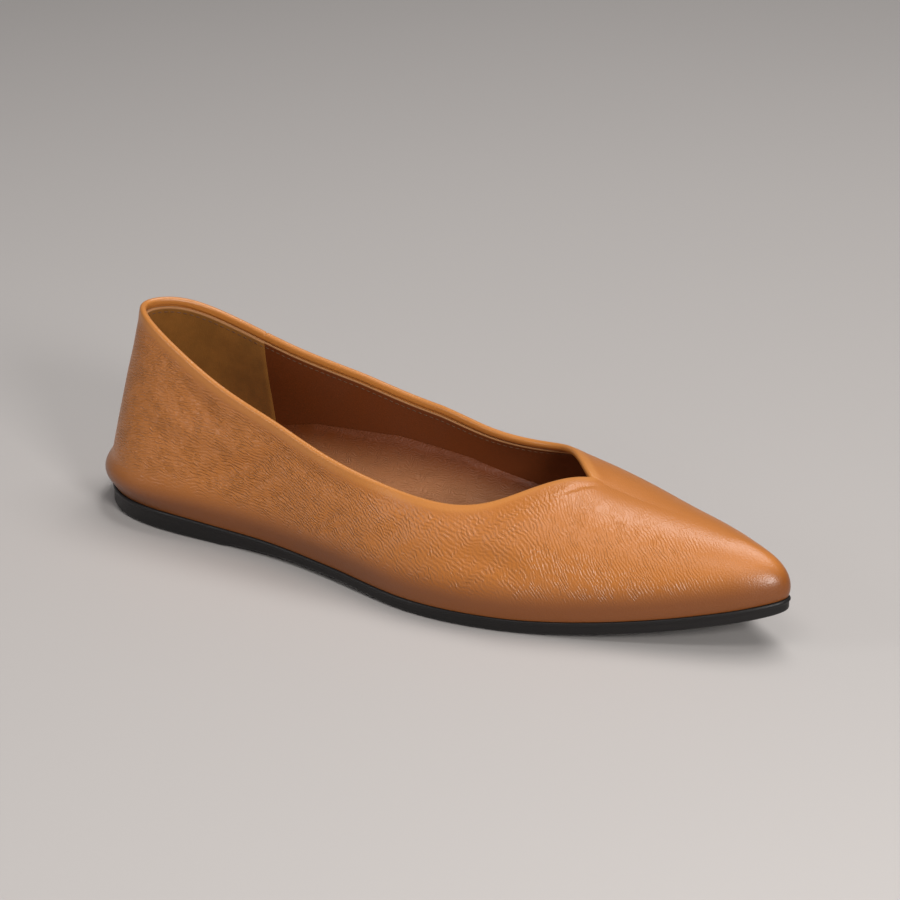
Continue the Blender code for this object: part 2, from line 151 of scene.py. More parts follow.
# Soft creases of the leather, listed one by one.  side is +1 lateral, -1 medial.  path runs through
# (share of the walk, share of the way up the side).  width and depth are in millimetres, and a
# depth below zero makes a soft ridge.
Crease = namedtuple("Crease", "side path width depth")
CREASES = (
    Crease(+1, ((0.185, 0.80), (0.218, 0.83), (0.258, 0.81)), 3.0, 0.26),
    Crease(+1, ((0.150, 0.62), (0.200, 0.60), (0.260, 0.66), (0.300, 0.76)), 3.4, -0.35),
    Crease(+1, ((0.235, 0.34), (0.275, 0.46), (0.315, 0.62), (0.352, 0.80)), 2.8, 0.48),
    Crease(+1, ((0.292, 0.32), (0.325, 0.50), (0.356, 0.68)), 1.2, 0.32),
    Crease(+1, ((0.318, 0.30), (0.345, 0.44), (0.372, 0.56)), 1.0, 0.24),
    Crease(+1, ((0.402, 0.28), (0.424, 0.44), (0.450, 0.64)), 1.2, 0.30),
    Crease(+1, ((0.425, 0.30), (0.440, 0.40), (0.462, 0.52)), 1.0, 0.22),
    Crease(+1, ((0.352, 0.84), (0.400, 0.80), (0.450, 0.84)), 3.0, 0.25),
    Crease(+1, ((0.500, 0.40), (0.530, 0.62), (0.545, 0.80)), 3.0, 0.20),
    Crease(+1, ((0.700, 0.80), (0.712, 0.88), (0.722, 0.95)), 1.1, 0.22),
    Crease(+1, ((0.610, 0.55), (0.660, 0.40), (0.700, 0.24)), 3.2, 0.20),
    Crease(-1, ((0.190, 0.78), (0.225, 0.80), (0.262, 0.76)), 2.4, 0.28),
    Crease(-1, ((0.240, 0.32), (0.285, 0.48), (0.330, 0.70)), 2.6, 0.33),
    Crease(-1, ((0.300, 0.30), (0.330, 0.44), (0.352, 0.60)), 1.2, 0.19),
    Crease(-1, ((0.410, 0.26), (0.436, 0.44), (0.455, 0.64)), 1.3, 0.20),
    Crease(-1, ((0.440, 0.30), (0.462, 0.46), (0.476, 0.60)), 1.0, 0.15),
    Crease(-1, ((0.560, 0.30), (0.566, 0.50), (0.580, 0.74)), 2.8, 0.16),
    Crease(-1, ((0.640, 0.62), (0.690, 0.44), (0.730, 0.26)), 3.0, 0.16),
)

# How far the footbed's leather turns up the wall and reaches in from it, in millimetres, by share
# of the walk.
TurnUp = namedtuple("TurnUp", "share lateral_up lateral_in medial_up medial_in")
TURN_UPS = (
    TurnUp(0.00, 6.0, 8.0, 6.0, 8.0),
    TurnUp(0.12, 6.0, 8.0, 7.5, 9.0),
    TurnUp(0.20, 5.5, 7.5, 13.0, 12.0),
    TurnUp(0.28, 5.0, 7.0, 20.0, 16.0),
    TurnUp(0.40, 5.0, 7.0, 23.0, 19.0),
    TurnUp(0.50, 5.0, 7.0, 21.0, 19.0),
    TurnUp(0.60, 5.0, 7.0, 14.0, 15.0),
    TurnUp(0.70, 4.5, 6.0, 8.0, 9.0),
    TurnUp(0.85, 4.0, 5.0, 4.5, 5.5),
    TurnUp(1.00, 3.5, 4.0, 3.5, 4.0),
)


# The last.

def spline(knots, values, start=None, end=None):
    """Cubic spline through values at knots, free at its ends or with the slopes given there."""
    knots = np.asarray(knots, float)
    values = np.asarray(values, float).reshape(len(knots), -1)
    step = np.diff(knots)
    slope = np.diff(values, axis=0) / step[:, None]
    matrix = np.eye(len(knots))
    bend = np.zeros_like(values)
    for i in range(1, len(knots) - 1):
        matrix[i, i - 1:i + 2] = step[i - 1], 2 * (step[i - 1] + step[i]), step[i]
        bend[i] = 6 * (slope[i] - slope[i - 1])
    if start is not None:
        matrix[0, :2] = 2 * step[0], step[0]
        bend[0] = 6 * (slope[0] - start)
    if end is not None:
        matrix[-1, -2:] = step[-1], 2 * step[-1]
        bend[-1] = 6 * (end - slope[-1])
    bend = np.linalg.solve(matrix, bend)

    def at(place):
        place = np.atleast_1d(place)
        i = np.clip(np.searchsorted(knots, place, side="right") - 1, 0, len(step) - 1)
        a = ((knots[i + 1] - place) / step[i])[:, None]
        b = ((place - knots[i]) / step[i])[:, None]
        curve = (a ** 3 - a) * bend[i] + (b ** 3 - b) * bend[i + 1]
        return a * values[i] + b * values[i + 1] + curve * (step[i] ** 2 / 6)[:, None]

    return at


def smooth(low, high, value):
    """Rise from 0 at low to 1 at high, level at both ends."""
    share = np.clip((value - low) / (high - low), 0.0, 1.0)
    return share * share * (3 - 2 * share)


def unit(vectors):
    """The same vectors at length one."""
    return vectors / np.maximum(np.linalg.norm(vectors, axis=-1, keepdims=True), 1e-12)


def tread_height(x):
    """Height of the underside: flat heel, breast, arched waist, flat forefoot, toe spring."""
    share = x / LENGTH
    breast = BREAST_AT / LENGTH
    lift = 0.5 * smooth(breast, breast + 0.012, share) + 0.5 * smooth(breast, 0.36, share)
    arch = ARCH * lift * (1 - smooth(0.42, 0.56, share))
    return arch + TOE_SPRING * np.clip((share - 0.68) / 0.32, 0.0, None) ** 1.8


def feather_height(x):
    """Height of the sole's upper side, where the upper and the insole stand."""
    share = x / LENGTH
    waist = ARCH * smooth(0.22, 0.34, share) * (1 - smooth(0.42, 0.56, share))
    spring = TOE_SPRING * np.clip((share - 0.68) / 0.32, 0.0, None) ** 1.8
    thick = HEEL_THICK + (FORE_THICK - HEEL_THICK) * smooth(0.14, 0.42, share)
    return 0.5 * waist + spring + thick


class Last:
    """Feather line, crown and columns of the last, all by one walk along the feather line."""

    def __init__(self):
        along = np.array([s.along for s in STATIONS]) * LENGTH
        lateral = np.array([-s.lateral for s in STATIONS]) * BALL_WIDTH
        medial = np.array([s.medial for s in STATIONS]) * BALL_WIDTH
        chords = [np.hypot(np.diff(along), np.diff(side)) for side in (lateral, medial)]
        self.walk = np.concatenate([[0.0], np.cumsum(sum(chords) / 2)])
        self.tip = self.walk[-1]
        self.throat = self.walk[THROAT]
        self.pole = self.walk[POLE]
        self.outline = self.closed_outline(along, lateral, medial)
        self.shapes = {name: spline(self.walk, [getattr(s, name) for s in STATIONS], 0.0)
                       for name in ("foot_out", "foot_up", "head_reach", "head_drop")}
        rows = np.array([r.along for r in CROWN + RIDGE]) * LENGTH
        self.crown_x = spline(self.walk[:POLE + 1], rows, 0.0, 0.0)
        self.ridge_x = rows[THROAT]
        self.ridge = spline(rows[THROAT:], [(r.side * BALL_WIDTH, r.rise * THROAT_HEIGHT)
                                            for r in RIDGE])
        self.crown = self.collar_crown()
        ends = [1.0]
        self.cuts = {+1: spline(self.walk[:THROAT + 1], [c.lateral_cut for c in CROWN] + ends, 0.0),
                     -1: spline(self.walk[:THROAT + 1], [c.medial_cut for c in CROWN] + ends, 0.0)}

    def closed_outline(self, along, lateral, medial):
        """The sole's edge in plan as a closed curve; the medial side runs home from the tip."""
        out = np.column_stack([along, lateral])
        home = np.column_stack([along, medial])[-2:0:-1]
        points = np.vstack([out, home])
        knots = np.concatenate([self.walk, 2 * self.tip - self.walk[-2:0:-1]])
        lap = 2 * self.tip
        wrap = 4
        knots = np.concatenate([knots[-wrap:] - lap, knots, knots[:wrap] + lap])
        points = np.vstack([points[-wrap:], points, points[:wrap]])
        curve = spline(knots, points)
        return lambda place: curve(np.mod(place, lap))

    def collar_crown(self):
        """Side and height of the crown from the throat round the back to the throat again."""
        lift = BACK_HEIGHT - THROAT_HEIGHT
        left = [(-c.lateral * BALL_WIDTH, THROAT_HEIGHT + c.lateral_lift * lift) for c in CROWN]
        right = [(c.medial * BALL_WIDTH, THROAT_HEIGHT + c.medial_lift * lift) for c in CROWN]
        peak = tuple(self.ridge(self.ridge_x)[0])
        points = [peak] + left[::-1] + right[1:] + [peak]
        knots = np.concatenate([-self.walk[THROAT:0:-1], self.walk[:THROAT + 1]])
        near = self.throat + np.array([-MM, MM])
        pace = np.diff(self.crown_x(near), axis=0)[0] / (2 * MM)
        fall = (self.ridge(self.ridge_x + MM) - self.ridge(self.ridge_x))[0] / MM * pace
        return spline(knots, points, -fall, fall)

    def outward(self, place):
        """Unit normal of the outline in plan."""
        along = unit(self.outline(place + 0.05 * MM) - self.outline(place - 0.05 * MM))
        return np.column_stack([along[:, 1], -along[:, 0], np.zeros(len(along))])

    def half_walk(self, place):
        """Walk from the heel back along whichever side a place is on."""
        return np.where(place <= self.tip, place, 2 * self.tip - place)

    def columns(self, place):
        """The four control points of each column: foot, swelling, head and crown."""
        side = np.where(place <= self.tip, 1, -1)
        walk = self.half_walk(place)
        edge = self.outline(place)
        out = self.outward(place)
        foot = np.column_stack([edge, feather_height(edge[:, 0])]) - out * FEATHER_IN
        over = self.crown_x(np.minimum(walk, self.pole))[:, 0]
        ridge_at = np.maximum(over, self.ridge_x)
        on_ridge = self.ridge(ridge_at)
        pitch = (self.ridge(ridge_at + MM) - self.ridge(ridge_at - MM))[:, 1] / (2 * MM)
        pitch += (feather_height(over + MM) - feather_height(over - MM)) / (2 * MM)
        collar = self.crown(-side * np.minimum(walk, self.throat))
        top = np.where((walk < self.throat)[:, None], collar, on_ridge)
        crown = np.column_stack([over, top[:, 0], top[:, 1] + feather_height(over)])
        rise = (crown - foot)[:, 2:]
        shape = {name: curve(walk) for name, curve in self.shapes.items()}
        swell = foot + out * shape["foot_out"] * rise + UP * shape["foot_up"] * rise
        reach = (foot - crown) * np.array([1.0, 1.0, 0.0]) * shape["head_reach"]
        head = crown + reach + UP * (pitch[:, None] * reach[:, :1] - shape["head_drop"] * rise)
        return foot, swell, head, crown

    def kept(self, place):
        """Share of each column that lies below the topline."""
        lateral = place <= self.tip
        walk = self.half_walk(place)
        short = np.maximum(self.throat - walk, 0.0)
        rounded = np.sqrt(short * short + 2 * TIP_ROUND * short) - short
        inner = self.throat - short - rounded * np.exp(-short / (3 * TIP_ROUND))
        cut = np.where(lateral, self.cuts[1](inner)[:, 0], self.cuts[-1](inner)[:, 0])
        return np.where(walk < self.throat, np.minimum(cut, 1.0), 1.0)

    def lengths(self, place):
        """Length of each whole column, and of the part below the topline."""
        foot, swell, head, crown = self.columns(place)
        a = np.linspace(0.0, 1.0, 81)[:, None, None]
        dense = ((1 - a) ** 3 * foot + 3 * (1 - a) ** 2 * a * swell
                 + 3 * (1 - a) * a ** 2 * head + a ** 3 * crown)
        whole = np.linalg.norm(np.diff(dense, axis=0), axis=2).sum(axis=0)
        return whole, whole * self.kept(place)

    def wall(self, place, climbs):
        """Points on the columns at the given arc heights, an array of rows by columns."""
        foot, swell, head, crown = self.columns(place)
        fine = np.linspace(0.0, 1.0, 81)

        def curve(share):
            a = share[..., None]
            return ((1 - a) ** 3 * foot + 3 * (1 - a) ** 2 * a * swell
                    + 3 * (1 - a) * a ** 2 * head + a ** 3 * crown)

        dense = curve(np.repeat(fine[:, None], len(place), axis=1))
        steps = np.linalg.norm(np.diff(dense, axis=0), axis=2)
        climbed = np.vstack([np.zeros(len(place)), np.cumsum(steps, axis=0)])
        shares = np.column_stack([np.interp(climbs[:, i], climbed[:, i], fine)
                                  for i in range(len(place))])
        points = curve(shares)
        edge = self.outline(place)
        height = (points - foot)[..., 2] / ROLL_HEIGHT
        swelling = np.where((height > 0) & (height < 1), np.sin(math.pi * height) ** 2, 0.0)
        along = edge[:, 0] / LENGTH
        amount = ROLL_SIDE + (ROLL_HEEL - ROLL_SIDE) * (1 - smooth(0.0, 0.24, along))
        amount = amount * (1 - smooth(0.6, 0.8, along))
        return points + self.outward(place) * (swelling * amount)[..., None]


def spaced_places(last, collar, tip, vamp, toe, throat=None, seam=None):
    """Places of the columns round the whole feather line, heel back first, tip in the middle."""
    throat = last.throat if throat is None else throat
    heel = np.linspace(0.0, 1.0, collar + 1)
    heel = throat * (heel - 0.4 * np.sin(2 * math.pi * heel) / (2 * math.pi))
    close = throat - TIP_ROUND * np.linspace(0.95, 0.0, tip, endpoint=False) ** 2
    heel = np.concatenate([heel[heel < close[0] - 0.2 * MM], close, [throat]])
    top = np.linspace(throat, last.pole, vamp + 1)[1:]
    front = np.linspace(last.pole, last.tip, toe + 1)[1:]
    half = np.concatenate([heel, top, front])
    if seam is not None:
        close = seam + np.array([-0.9, -0.6, -0.35, -0.15, 0.0, 0.15, 0.35, 0.6, 0.9]) * MM
        half = half[(half < close[0] - 0.1 * MM) | (half > close[-1] + 0.1 * MM)]
        half = np.sort(np.concatenate([half, close]))
    return np.concatenate([half, 2 * last.tip - half[-2:0:-1]])


class Shell:
    """Vertices and faces of one closed body, gathered ring by ring."""

    def __init__(self):
        self.points = []
        self.faces = []
        self.marks = {}

    def ring(self, points, **marks):
        """Add points with the marks that the material reads, and return their numbers."""
        start = len(self.points)
        self.points.extend(tuple(p) for p in points)
        for name, values in marks.items():
            column = self.marks.setdefault(name, {})
            shape = (len(points),) + np.shape(values)[1:]
            for i, value in enumerate(np.broadcast_to(values, shape)):
                column[start + i] = value
        return list(range(start, start + len(points)))

    def skin(self, low, high, closed=True, flip=False):
        """Join two rings of equal count, dropping corners that coincide."""
        count = len(low)
        for i in range(count if closed else count - 1):
            j = (i + 1) % count
            face = []
            for corner in (low[i], low[j], high[j], high[i]):
                if corner not in face:
                    face.append(corner)
            if len(face) > 2:
                self.faces.append(face[::-1] if flip else face)

    def stack(self, rings, closed=True, flip=False):
        """Join each ring to the next."""
        for low, high in zip(rings, rings[1:]):
            self.skin(low, high, closed, flip)

    def bead(self, outer, inner, arc, turns, mark, closed=True):
        """Close the gap between two rings with a half round, and return all its rings."""
        middle, radius, facing, opening = arc
        rings = [outer]
        for turn in range(1, turns):
            angle = math.pi * turn / turns
            points = middle + radius * (math.cos(angle) * facing + math.sin(angle) * opening)
            rings.append(self.ring(points, **{mark: np.ones(len(points))}))
        rings.append(inner)
        self.stack(rings, closed)
        return rings

    def object(self, name, material, smooth_angle):
        """Make the mesh object, moved from the last's heel to the frame's origin."""
        used = sorted({corner for face in self.faces for corner in face})
        renumber = {old: new for new, old in enumerate(used)}
        points = np.array(self.points)[used] + SHIFT
        mesh = bpy.data.meshes.new(name)
        mesh.from_pydata([tuple(p) for p in points], [],
                         [[renumber[c] for c in face] for face in self.faces])
        mesh.update()
        for mark, column in self.marks.items():
            sample = np.asarray(next(iter(column.values())), float)
            kind = "FLOAT_VECTOR" if sample.ndim else "FLOAT"
            data = np.zeros((len(used),) + sample.shape)
            for new, old in enumerate(used):
                if old in column:
                    data[new] = column[old]
            attribute = mesh.attributes.new(mark, kind, "POINT")
            attribute.data.foreach_set("vector" if sample.ndim else "value",
                                       data.astype(np.float32).ravel())
        mesh.shade_smooth()
        mesh.set_sharp_from_angle(angle=math.radians(smooth_angle))
        mesh.materials.append(material)
        piece = bpy.data.objects.new(name, mesh)
        bpy.context.scene.collection.objects.link(piece)
        return piece


def mesh_normals(points, faces):
    """Area weighted normals of a mesh."""
    triangles = []
    for face in faces:
        for i in range(1, len(face) - 1):
            triangles.append((face[0], face[i], face[i + 1]))
    a, b, c = np.array(triangles).T
    across = np.cross(points[b] - points[a], points[c] - points[a])
    normals = np.zeros_like(points)
    for corner in (a, b, c):
        np.add.at(normals, corner, across)
    return unit(normals)


def nearest(points, targets):
    """Distance from each point to the nearest target."""
    tree = KDTree(len(targets))
    for i, target in enumerate(targets):
        tree.insert(Vector(target), i)
    tree.balance()
    return np.array([tree.find(Vector(p))[2] for p in points])


def weld_top(ring, last, places, throat):
    """Let facing columns share their ends on the ridge, and those round the toe the pole."""
    count = len(ring)
    walk = last.half_walk(places)
    welded = list(ring)
    pole = ring[int(np.argmin(np.abs(places - last.pole)))]
    for i in range(count):
        if walk[i] > last.pole - 0.01 * MM:
            welded[i] = pole
        elif walk[i] > throat - 0.01 * MM:
            welded[i] = ring[min(i, count - i)]
    return welded


def pairs_across(ring):
    """A ring's numbers along its lateral and its medial side, heel to toe, ends shared."""
    half = len(ring) // 2
    lateral = ring[:half + 1]
    medial = [ring[0]] + [ring[-i] for i in range(1, half)] + [ring[half]]
    return lateral, medial


LAST = Last()
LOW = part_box("outsole")[0]
_edge = LAST.outline(np.linspace(0.0, 2 * LAST.tip, 4001))
SHIFT = np.array([LOW[0] - _edge[:, 0].min(), LOW[1] - _edge[:, 1].min(), 0.0])


class UpperForm:
    """The outer skin of the upper at full resolution, with what the other pieces take from it."""

    def __init__(self, settings):
        self.seam = settings.seam_share * LAST.tip
        self.places = spaced_places(LAST, COLLAR_STEPS, TIP_STEPS, VAMP_STEPS, TOE_STEPS,
                                    seam=self.seam)
        self.whole, self.ends = LAST.lengths(self.places)
        t = np.linspace(0.0, 1.0, SKIN_ROWS + 1)
        rows = t - 0.45 * np.sin(2 * math.pi * t) / (2 * math.pi)
        self.climbs = rows[:, None] * self.ends[None, :]
        self.grid = LAST.wall(self.places, self.climbs)
        shell = Shell()
        rings = [shell.ring(points) for points in self.grid]
        rings[-1] = weld_top(rings[-1], LAST, self.places, LAST.throat)
        shell.stack(rings)
        self.rings = rings
        self.faces = shell.faces
        self.points = np.array(shell.points)
        self.normals = mesh_normals(self.points, self.faces)
        count = len(self.places)
        at_throat = int(np.argmin(np.abs(self.places - LAST.throat)))
        self.loop = rings[-1][:at_throat + 1] + rings[-1][count - at_throat + 1:]
        self.topline = self.points[self.loop]
        self.away = nearest(self.points, finer(self.topline))


def finer(loop, times=4):
    """A closed loop of points with more points on each side."""
    following = np.roll(loop, -1, axis=0)
    shares = np.arange(times)[:, None, None] / times
    return (loop + (following - loop) * shares).transpose(1, 0, 2).reshape(-1, 3)


def relief(points):
    """How far the soft creases and unevenness lift each point of the outer skin."""
    lift = np.zeros(len(points))
    for crease in CREASES:
        share = np.array([p[0] for p in crease.path]) * LAST.tip
        up = np.array([p[1] for p in crease.path])
        t = np.linspace(0.0, 1.0, len(share))
        path = spline(t, np.column_stack([share, up]))(np.linspace(0.0, 1.0, 40))
        place = path[:, 0] if crease.side > 0 else 2 * LAST.tip - path[:, 0]
        ends = LAST.lengths(place)[1]
        line = LAST.wall(place, (path[:, 1] * ends)[None, :])[0]
        gap = np.linalg.norm(points[:, None, :] - line[None, ::3, :], axis=2)
        near = gap.min(axis=1) < 4 * crease.width * MM
        chosen = np.nonzero(near)[0]
        if not len(chosen):
            continue
        exact = np.linalg.norm(points[chosen][:, None, :] - line[None, :, :], axis=2)
        at = exact.argmin(axis=1)
        far = exact.min(axis=1) / (crease.width * MM)
        taper = np.sin(math.pi * np.clip(at / 39, 0.02, 0.98)) ** 0.6
        trough = -np.exp(-far ** 2) + 0.35 * np.exp(-((far - 1.9) / 0.8) ** 2)
        lift[chosen] += trough * taper * crease.depth * MM
    x, y, z = points.T / MM
    wave = (np.sin(x / 5.6 + 1.3 * np.sin(z / 9.0 + 0.5)) * np.sin(z / 6.1 + x / 17.0)
            + 0.8 * np.sin(x / 9.5 - z / 7.3 + y / 8.0 + 2.0))
    return lift + 0.065 * MM * wave


def seam_groove(form):
    """Depth of the closed seam that runs down the medial side from the notch in the rim."""
    groove = np.zeros(len(form.points))
    medial = form.places > LAST.tip
    off = (LAST.half_walk(form.places) - form.seam) / (0.32 * MM)
    for row in form.rings:
        groove[np.array(row)[medial]] = np.exp(-off[medial] ** 2)
    return groove


def wrinkle_marks(form):
    """Flat place, angle across the wrinkles and their strength, on the grid.

    The flat place is (walk, distance from the crown), with the medial side below zero.  The
    wrinkles run along the quarter and turn down, then forward, over the vamp."""
    side = np.where(form.places <= LAST.tip, 1.0, -1.0)
    walk = LAST.half_walk(form.places)
    share = walk / LAST.tip
    drop = form.whole[None, :] - form.climbs
    flat = np.zeros(form.climbs.shape + (3,))
    flat[..., 0] = walk
    flat[..., 1] = side * drop
    dip = np.radians(np.interp(share, (0.0, 0.20, 0.30, 0.36, 0.45, 0.54, 0.61, 0.75, 0.86, 1.0),
                               (-22.0, -20.0, -6.0, 10.0, 27.0, 48.0, 54.0, 52.0, 44.0, 35.0)))
    angle = np.broadcast_to(side * dip, drop.shape) + math.pi / 2
    away = form.away[np.array(form.rings)]
    strength = smooth(1.6 * MM, 5.0 * MM, away)
    clear = np.interp(share, (0.0, 0.20, 0.35, 0.6, 0.85, 1.0),
                      np.array((17.0, 15.0, 11.0, 8.0, 8.0, 9.0)) * MM)
    strength = strength * smooth(0.55, 1.25, form.climbs / clear)
    strength = strength * smooth(0.025, 0.075, share)[None, :]
    strength = strength * np.interp(share, (0.0, 0.32, 0.45, 0.60, 0.75, 1.0),
                                    (1.1, 1.0, 0.85, 0.55, 0.45, 0.36))[None, :]
    strength = strength * (1 - smooth(0.84, 0.95, share)[None, :])
    ridge = np.where(share > 0.7, drop, 1.0)
    strength = strength * (0.12 + 0.88 * smooth(3 * MM, 20 * MM, ridge))
    return flat, angle, strength


# Node helpers.

def add_node(tree, kind, inputs=None, **settings):
    """Add a node with its settings, and with each input either linked or given its value."""
    node = tree.nodes.new(kind)
    for name, value in settings.items():
        setattr(node, name, value)
    for name, value in (inputs or {}).items():
        if isinstance(value, bpy.types.NodeSocket):
            tree.links.new(value, node.inputs[name])
        else:
            node.inputs[name].default_value = value
    return node


def math_node(tree, operation, first, second=0.0):
    """A Math node's result."""
    return add_node(tree, "ShaderNodeMath", {0: first, 1: second}, operation=operation).outputs[0]


def ramp(tree, value, low, high, bottom=0.0, top=1.0):
    """A smooth rise of a value between two limits."""
    return add_node(tree, "ShaderNodeMapRange",
                    {"Value": value, "From Min": low, "From Max": high, "To Min": bottom,
                     "To Max": top}, interpolation_type="SMOOTHSTEP").outputs[0]


def blend_colours(tree, share, first, second):
    """A Mix node's colour."""
    node = add_node(tree, "ShaderNodeMix", data_type="RGBA")
    for socket, value in ((0, share), (6, first), (7, second)):
        if isinstance(value, bpy.types.NodeSocket):
            tree.links.new(value, node.inputs[socket])
        elif socket:
            node.inputs[socket].default_value = (*value, 1.0)
        else:
            node.inputs[socket].default_value = value
    return node.outputs[2]


def effect(name, inputs, outputs):
    """A shader node group with its sockets, and its two end nodes."""
    tree = bpy.data.node_groups.new(name, "ShaderNodeTree")
    kinds = {"f": "NodeSocketFloat", "v": "NodeSocketVector"}
    for title, kind, value in inputs:
        socket = tree.interface.new_socket(name=title, in_out="INPUT", socket_type=kinds[kind])
        if value is not None:
            socket.default_value = value
    for title, kind in outputs:
        tree.interface.new_socket(name=title, in_out="OUTPUT", socket_type=kinds[kind])
    return tree, tree.nodes.new("NodeGroupInput"), tree.nodes.new("NodeGroupOutput")


def wrinkle_effect():
    """Long fine wrinkles across a given angle on the flat place, gathered in clusters."""
    name = "directed wrinkles"
    if name in bpy.data.node_groups:
        return bpy.data.node_groups[name]
    tree, entry, leave = effect(
        name,
        (("Flat", "v", None), ("Angle", "f", 0.0), ("Spacing", "f", 1.2 * MM),
         ("Waviness", "f", 1.0), ("Clusters", "f", 0.6)),
        (("Height", "f"), ("Cluster", "f")))
    flat = entry.outputs["Flat"]
    warp = add_node(tree, "ShaderNodeTexNoise", {"Vector": flat, "Scale": 210.0, "Detail": 1.0},
                    noise_dimensions="2D")
    centred = add_node(tree, "ShaderNodeVectorMath", {0: warp.outputs["Color"], 1: (0.5, 0.5, 0.5)},
                       operation="SUBTRACT").outputs[0]
    sway = math_node(tree, "MULTIPLY", entry.outputs["Waviness"], 3.2 * MM)
    shift = add_node(tree, "ShaderNodeVectorMath", {0: centred, "Scale": sway},
                     operation="SCALE").outputs[0]
    moved = add_node(tree, "ShaderNodeVectorMath", {0: flat, 1: shift}, operation="ADD").outputs[0]
    waves = []
    for factor, frequency, lean in ((1.0, 2.1, -0.08), (1.5, 1.9, 0.28)):
        scale = math_node(tree, "DIVIDE", factor / frequency, entry.outputs["Spacing"])
        wave = add_node(tree, "ShaderNodeTexGabor",
                        {"Vector": moved, "Scale": scale, "Frequency": frequency,
                         "Anisotropy": 0.92}, gabor_type="2D")
        turned = math_node(tree, "ADD", entry.outputs["Angle"], lean)
        tree.links.new(turned, [i for i in wave.inputs
                                if i.name == "Orientation" and i.type == "VALUE"][0])
        waves.append(ramp(tree, wave.outputs["Value"], 0.30, 0.70))
    both = math_node(tree, "ADD", math_node(tree, "MULTIPLY", waves[0], 0.76),
                     math_node(tree, "MULTIPLY", waves[1], 0.24))
    cluster = add_node(tree, "ShaderNodeTexNoise",
                       {"Vector": flat, "Scale": 150.0, "Detail": 2.0, "Roughness": 0.55},
                       noise_dimensions="2D")
    cluster = ramp(tree, cluster.outputs["Fac"], 0.36, 0.62)
    gain = math_node(tree, "ADD", 1.0, math_node(tree, "MULTIPLY", entry.outputs["Clusters"],
                                                 math_node(tree, "SUBTRACT", cluster, 1.0)))
    height = math_node(tree, "MULTIPLY", math_node(tree, "SUBTRACT", both, 0.5), gain)
    tree.links.new(height, leave.inputs["Height"])
    tree.links.new(cluster, leave.inputs["Cluster"])
    return tree


def pore_effect():
    """The hide's own fine grain: small rounded cells with pores between them."""
    name = "hide grain"
    if name in bpy.data.node_groups:
        return bpy.data.node_groups[name]
    tree, entry, leave = effect(name, (("Place", "v", None), ("Scale", "f", 2200.0)),
                                (("Height", "f"), ("Mottle", "f")))
    place = entry.outputs["Place"]
    cells = add_node(tree, "ShaderNodeTexVoronoi",
                     {"Vector": place, "Scale": entry.outputs["Scale"], "Smoothness": 0.6},
                     feature="SMOOTH_F1")
    hair = add_node(tree, "ShaderNodeTexNoise", {"Vector": place, "Scale": 1400.0, "Detail": 3.0})
    mottle = add_node(tree, "ShaderNodeTexNoise",
                      {"Vector": place, "Scale": 42.0, "Detail": 4.0, "Roughness": 0.6})
    height = math_node(tree, "ADD", math_node(tree, "MULTIPLY", cells.outputs["Distance"], -0.9),
                       math_node(tree, "MULTIPLY", hair.outputs["Fac"], 0.6))
    tree.links.new(height, leave.inputs["Height"])
    tree.links.new(mottle.outputs["Fac"], leave.inputs["Mottle"])
    return tree


def place_effect(tree, group, inputs):
    """Put a node group into a material with its own values."""
    return add_node(tree, "ShaderNodeGroup", inputs, node_tree=group)


def new_material(name, **values):
    """A material with its shader's plain values set, its tree and its object coordinates."""
    material = bpy.data.materials.new(name)
    material.use_nodes = True
    tree = material.node_tree
    shader = tree.nodes["Principled BSDF"]
    for title, value in values.items():
        shader.inputs[title.replace("_", " ")].default_value = value
    place = add_node(tree, "ShaderNodeTexCoord").outputs["Object"]
    return material, tree, shader, place


def add_bump(tree, height, distance):
    """A Bump node's normal over a height in the given distance."""
    return add_node(tree, "ShaderNodeBump", {"Height": height, "Distance": distance,
                                             "Strength": 1.0}).outputs["Normal"]


def link_shader(tree, shader, **sockets):
    """Link results to the shader's inputs of the same names."""
    for title, socket in sockets.items():
        tree.links.new(socket, shader.inputs[title.replace("_", " ")])


def attribute(tree, name, output="Fac"):
    """The piece's own attribute."""
    return add_node(tree, "ShaderNodeAttribute", attribute_name=name).outputs[output]


def upper_leather(settings):
    """Tan aniline leather: wrinkled by the last's shape, with painted shade that darkens it towards
    the sole.
    """
    material, tree, shader, place = new_material("tan wrinkled leather", Specular_IOR_Level=0.55,
                                                 Coat_Weight=0.06, Coat_Roughness=0.3)
    wrinkles = place_effect(tree, wrinkle_effect(), {
        "Flat": attribute(tree, "flat", "Vector"), "Angle": attribute(tree, "angle"),
        "Spacing": settings.wrinkle_spacing, "Waviness": 0.42, "Clusters": 0.5})
    grain = place_effect(tree, pore_effect(), {"Place": place, "Scale": 1900.0})
    strength = attribute(tree, "wrinkle")
    folded = math_node(tree, "MULTIPLY", wrinkles.outputs["Height"], strength)
    low = attribute(tree, "low")
    rim = attribute(tree, "rim")
    base = blend_colours(tree, grain.outputs["Mottle"], tuple(settings.leather_colour),
                         tuple(c * k for c, k in zip(settings.leather_colour, (0.92, 0.90, 0.87))))
    # Painted shade: near the sole, by the low mark, the leather is mixed to a much darker colour.
    base = blend_colours(tree, math_node(tree, "MULTIPLY", low, 0.85), base,
                         tuple(settings.painted_shade_low))
    # Partly painted highlight: the turned rim is mixed towards a lighter, more saturated orange,
    # for its own brighter edge and for the light that its rolled top catches.
    base = blend_colours(tree, math_node(tree, "MULTIPLY", rim, 0.4), base,
                         tuple(settings.rim_colour))
    rough = ramp(tree, folded, -0.4, 0.4, settings.leather_roughness + 0.1,
                 settings.leather_roughness - 0.05)
    pores = math_node(tree, "MULTIPLY", grain.outputs["Height"], 0.12)
    bump = add_bump(tree, math_node(tree, "ADD", folded, pores), settings.wrinkle_depth)
    link_shader(tree, shader, Base_Color=base, Roughness=rough, Normal=bump)
    return material


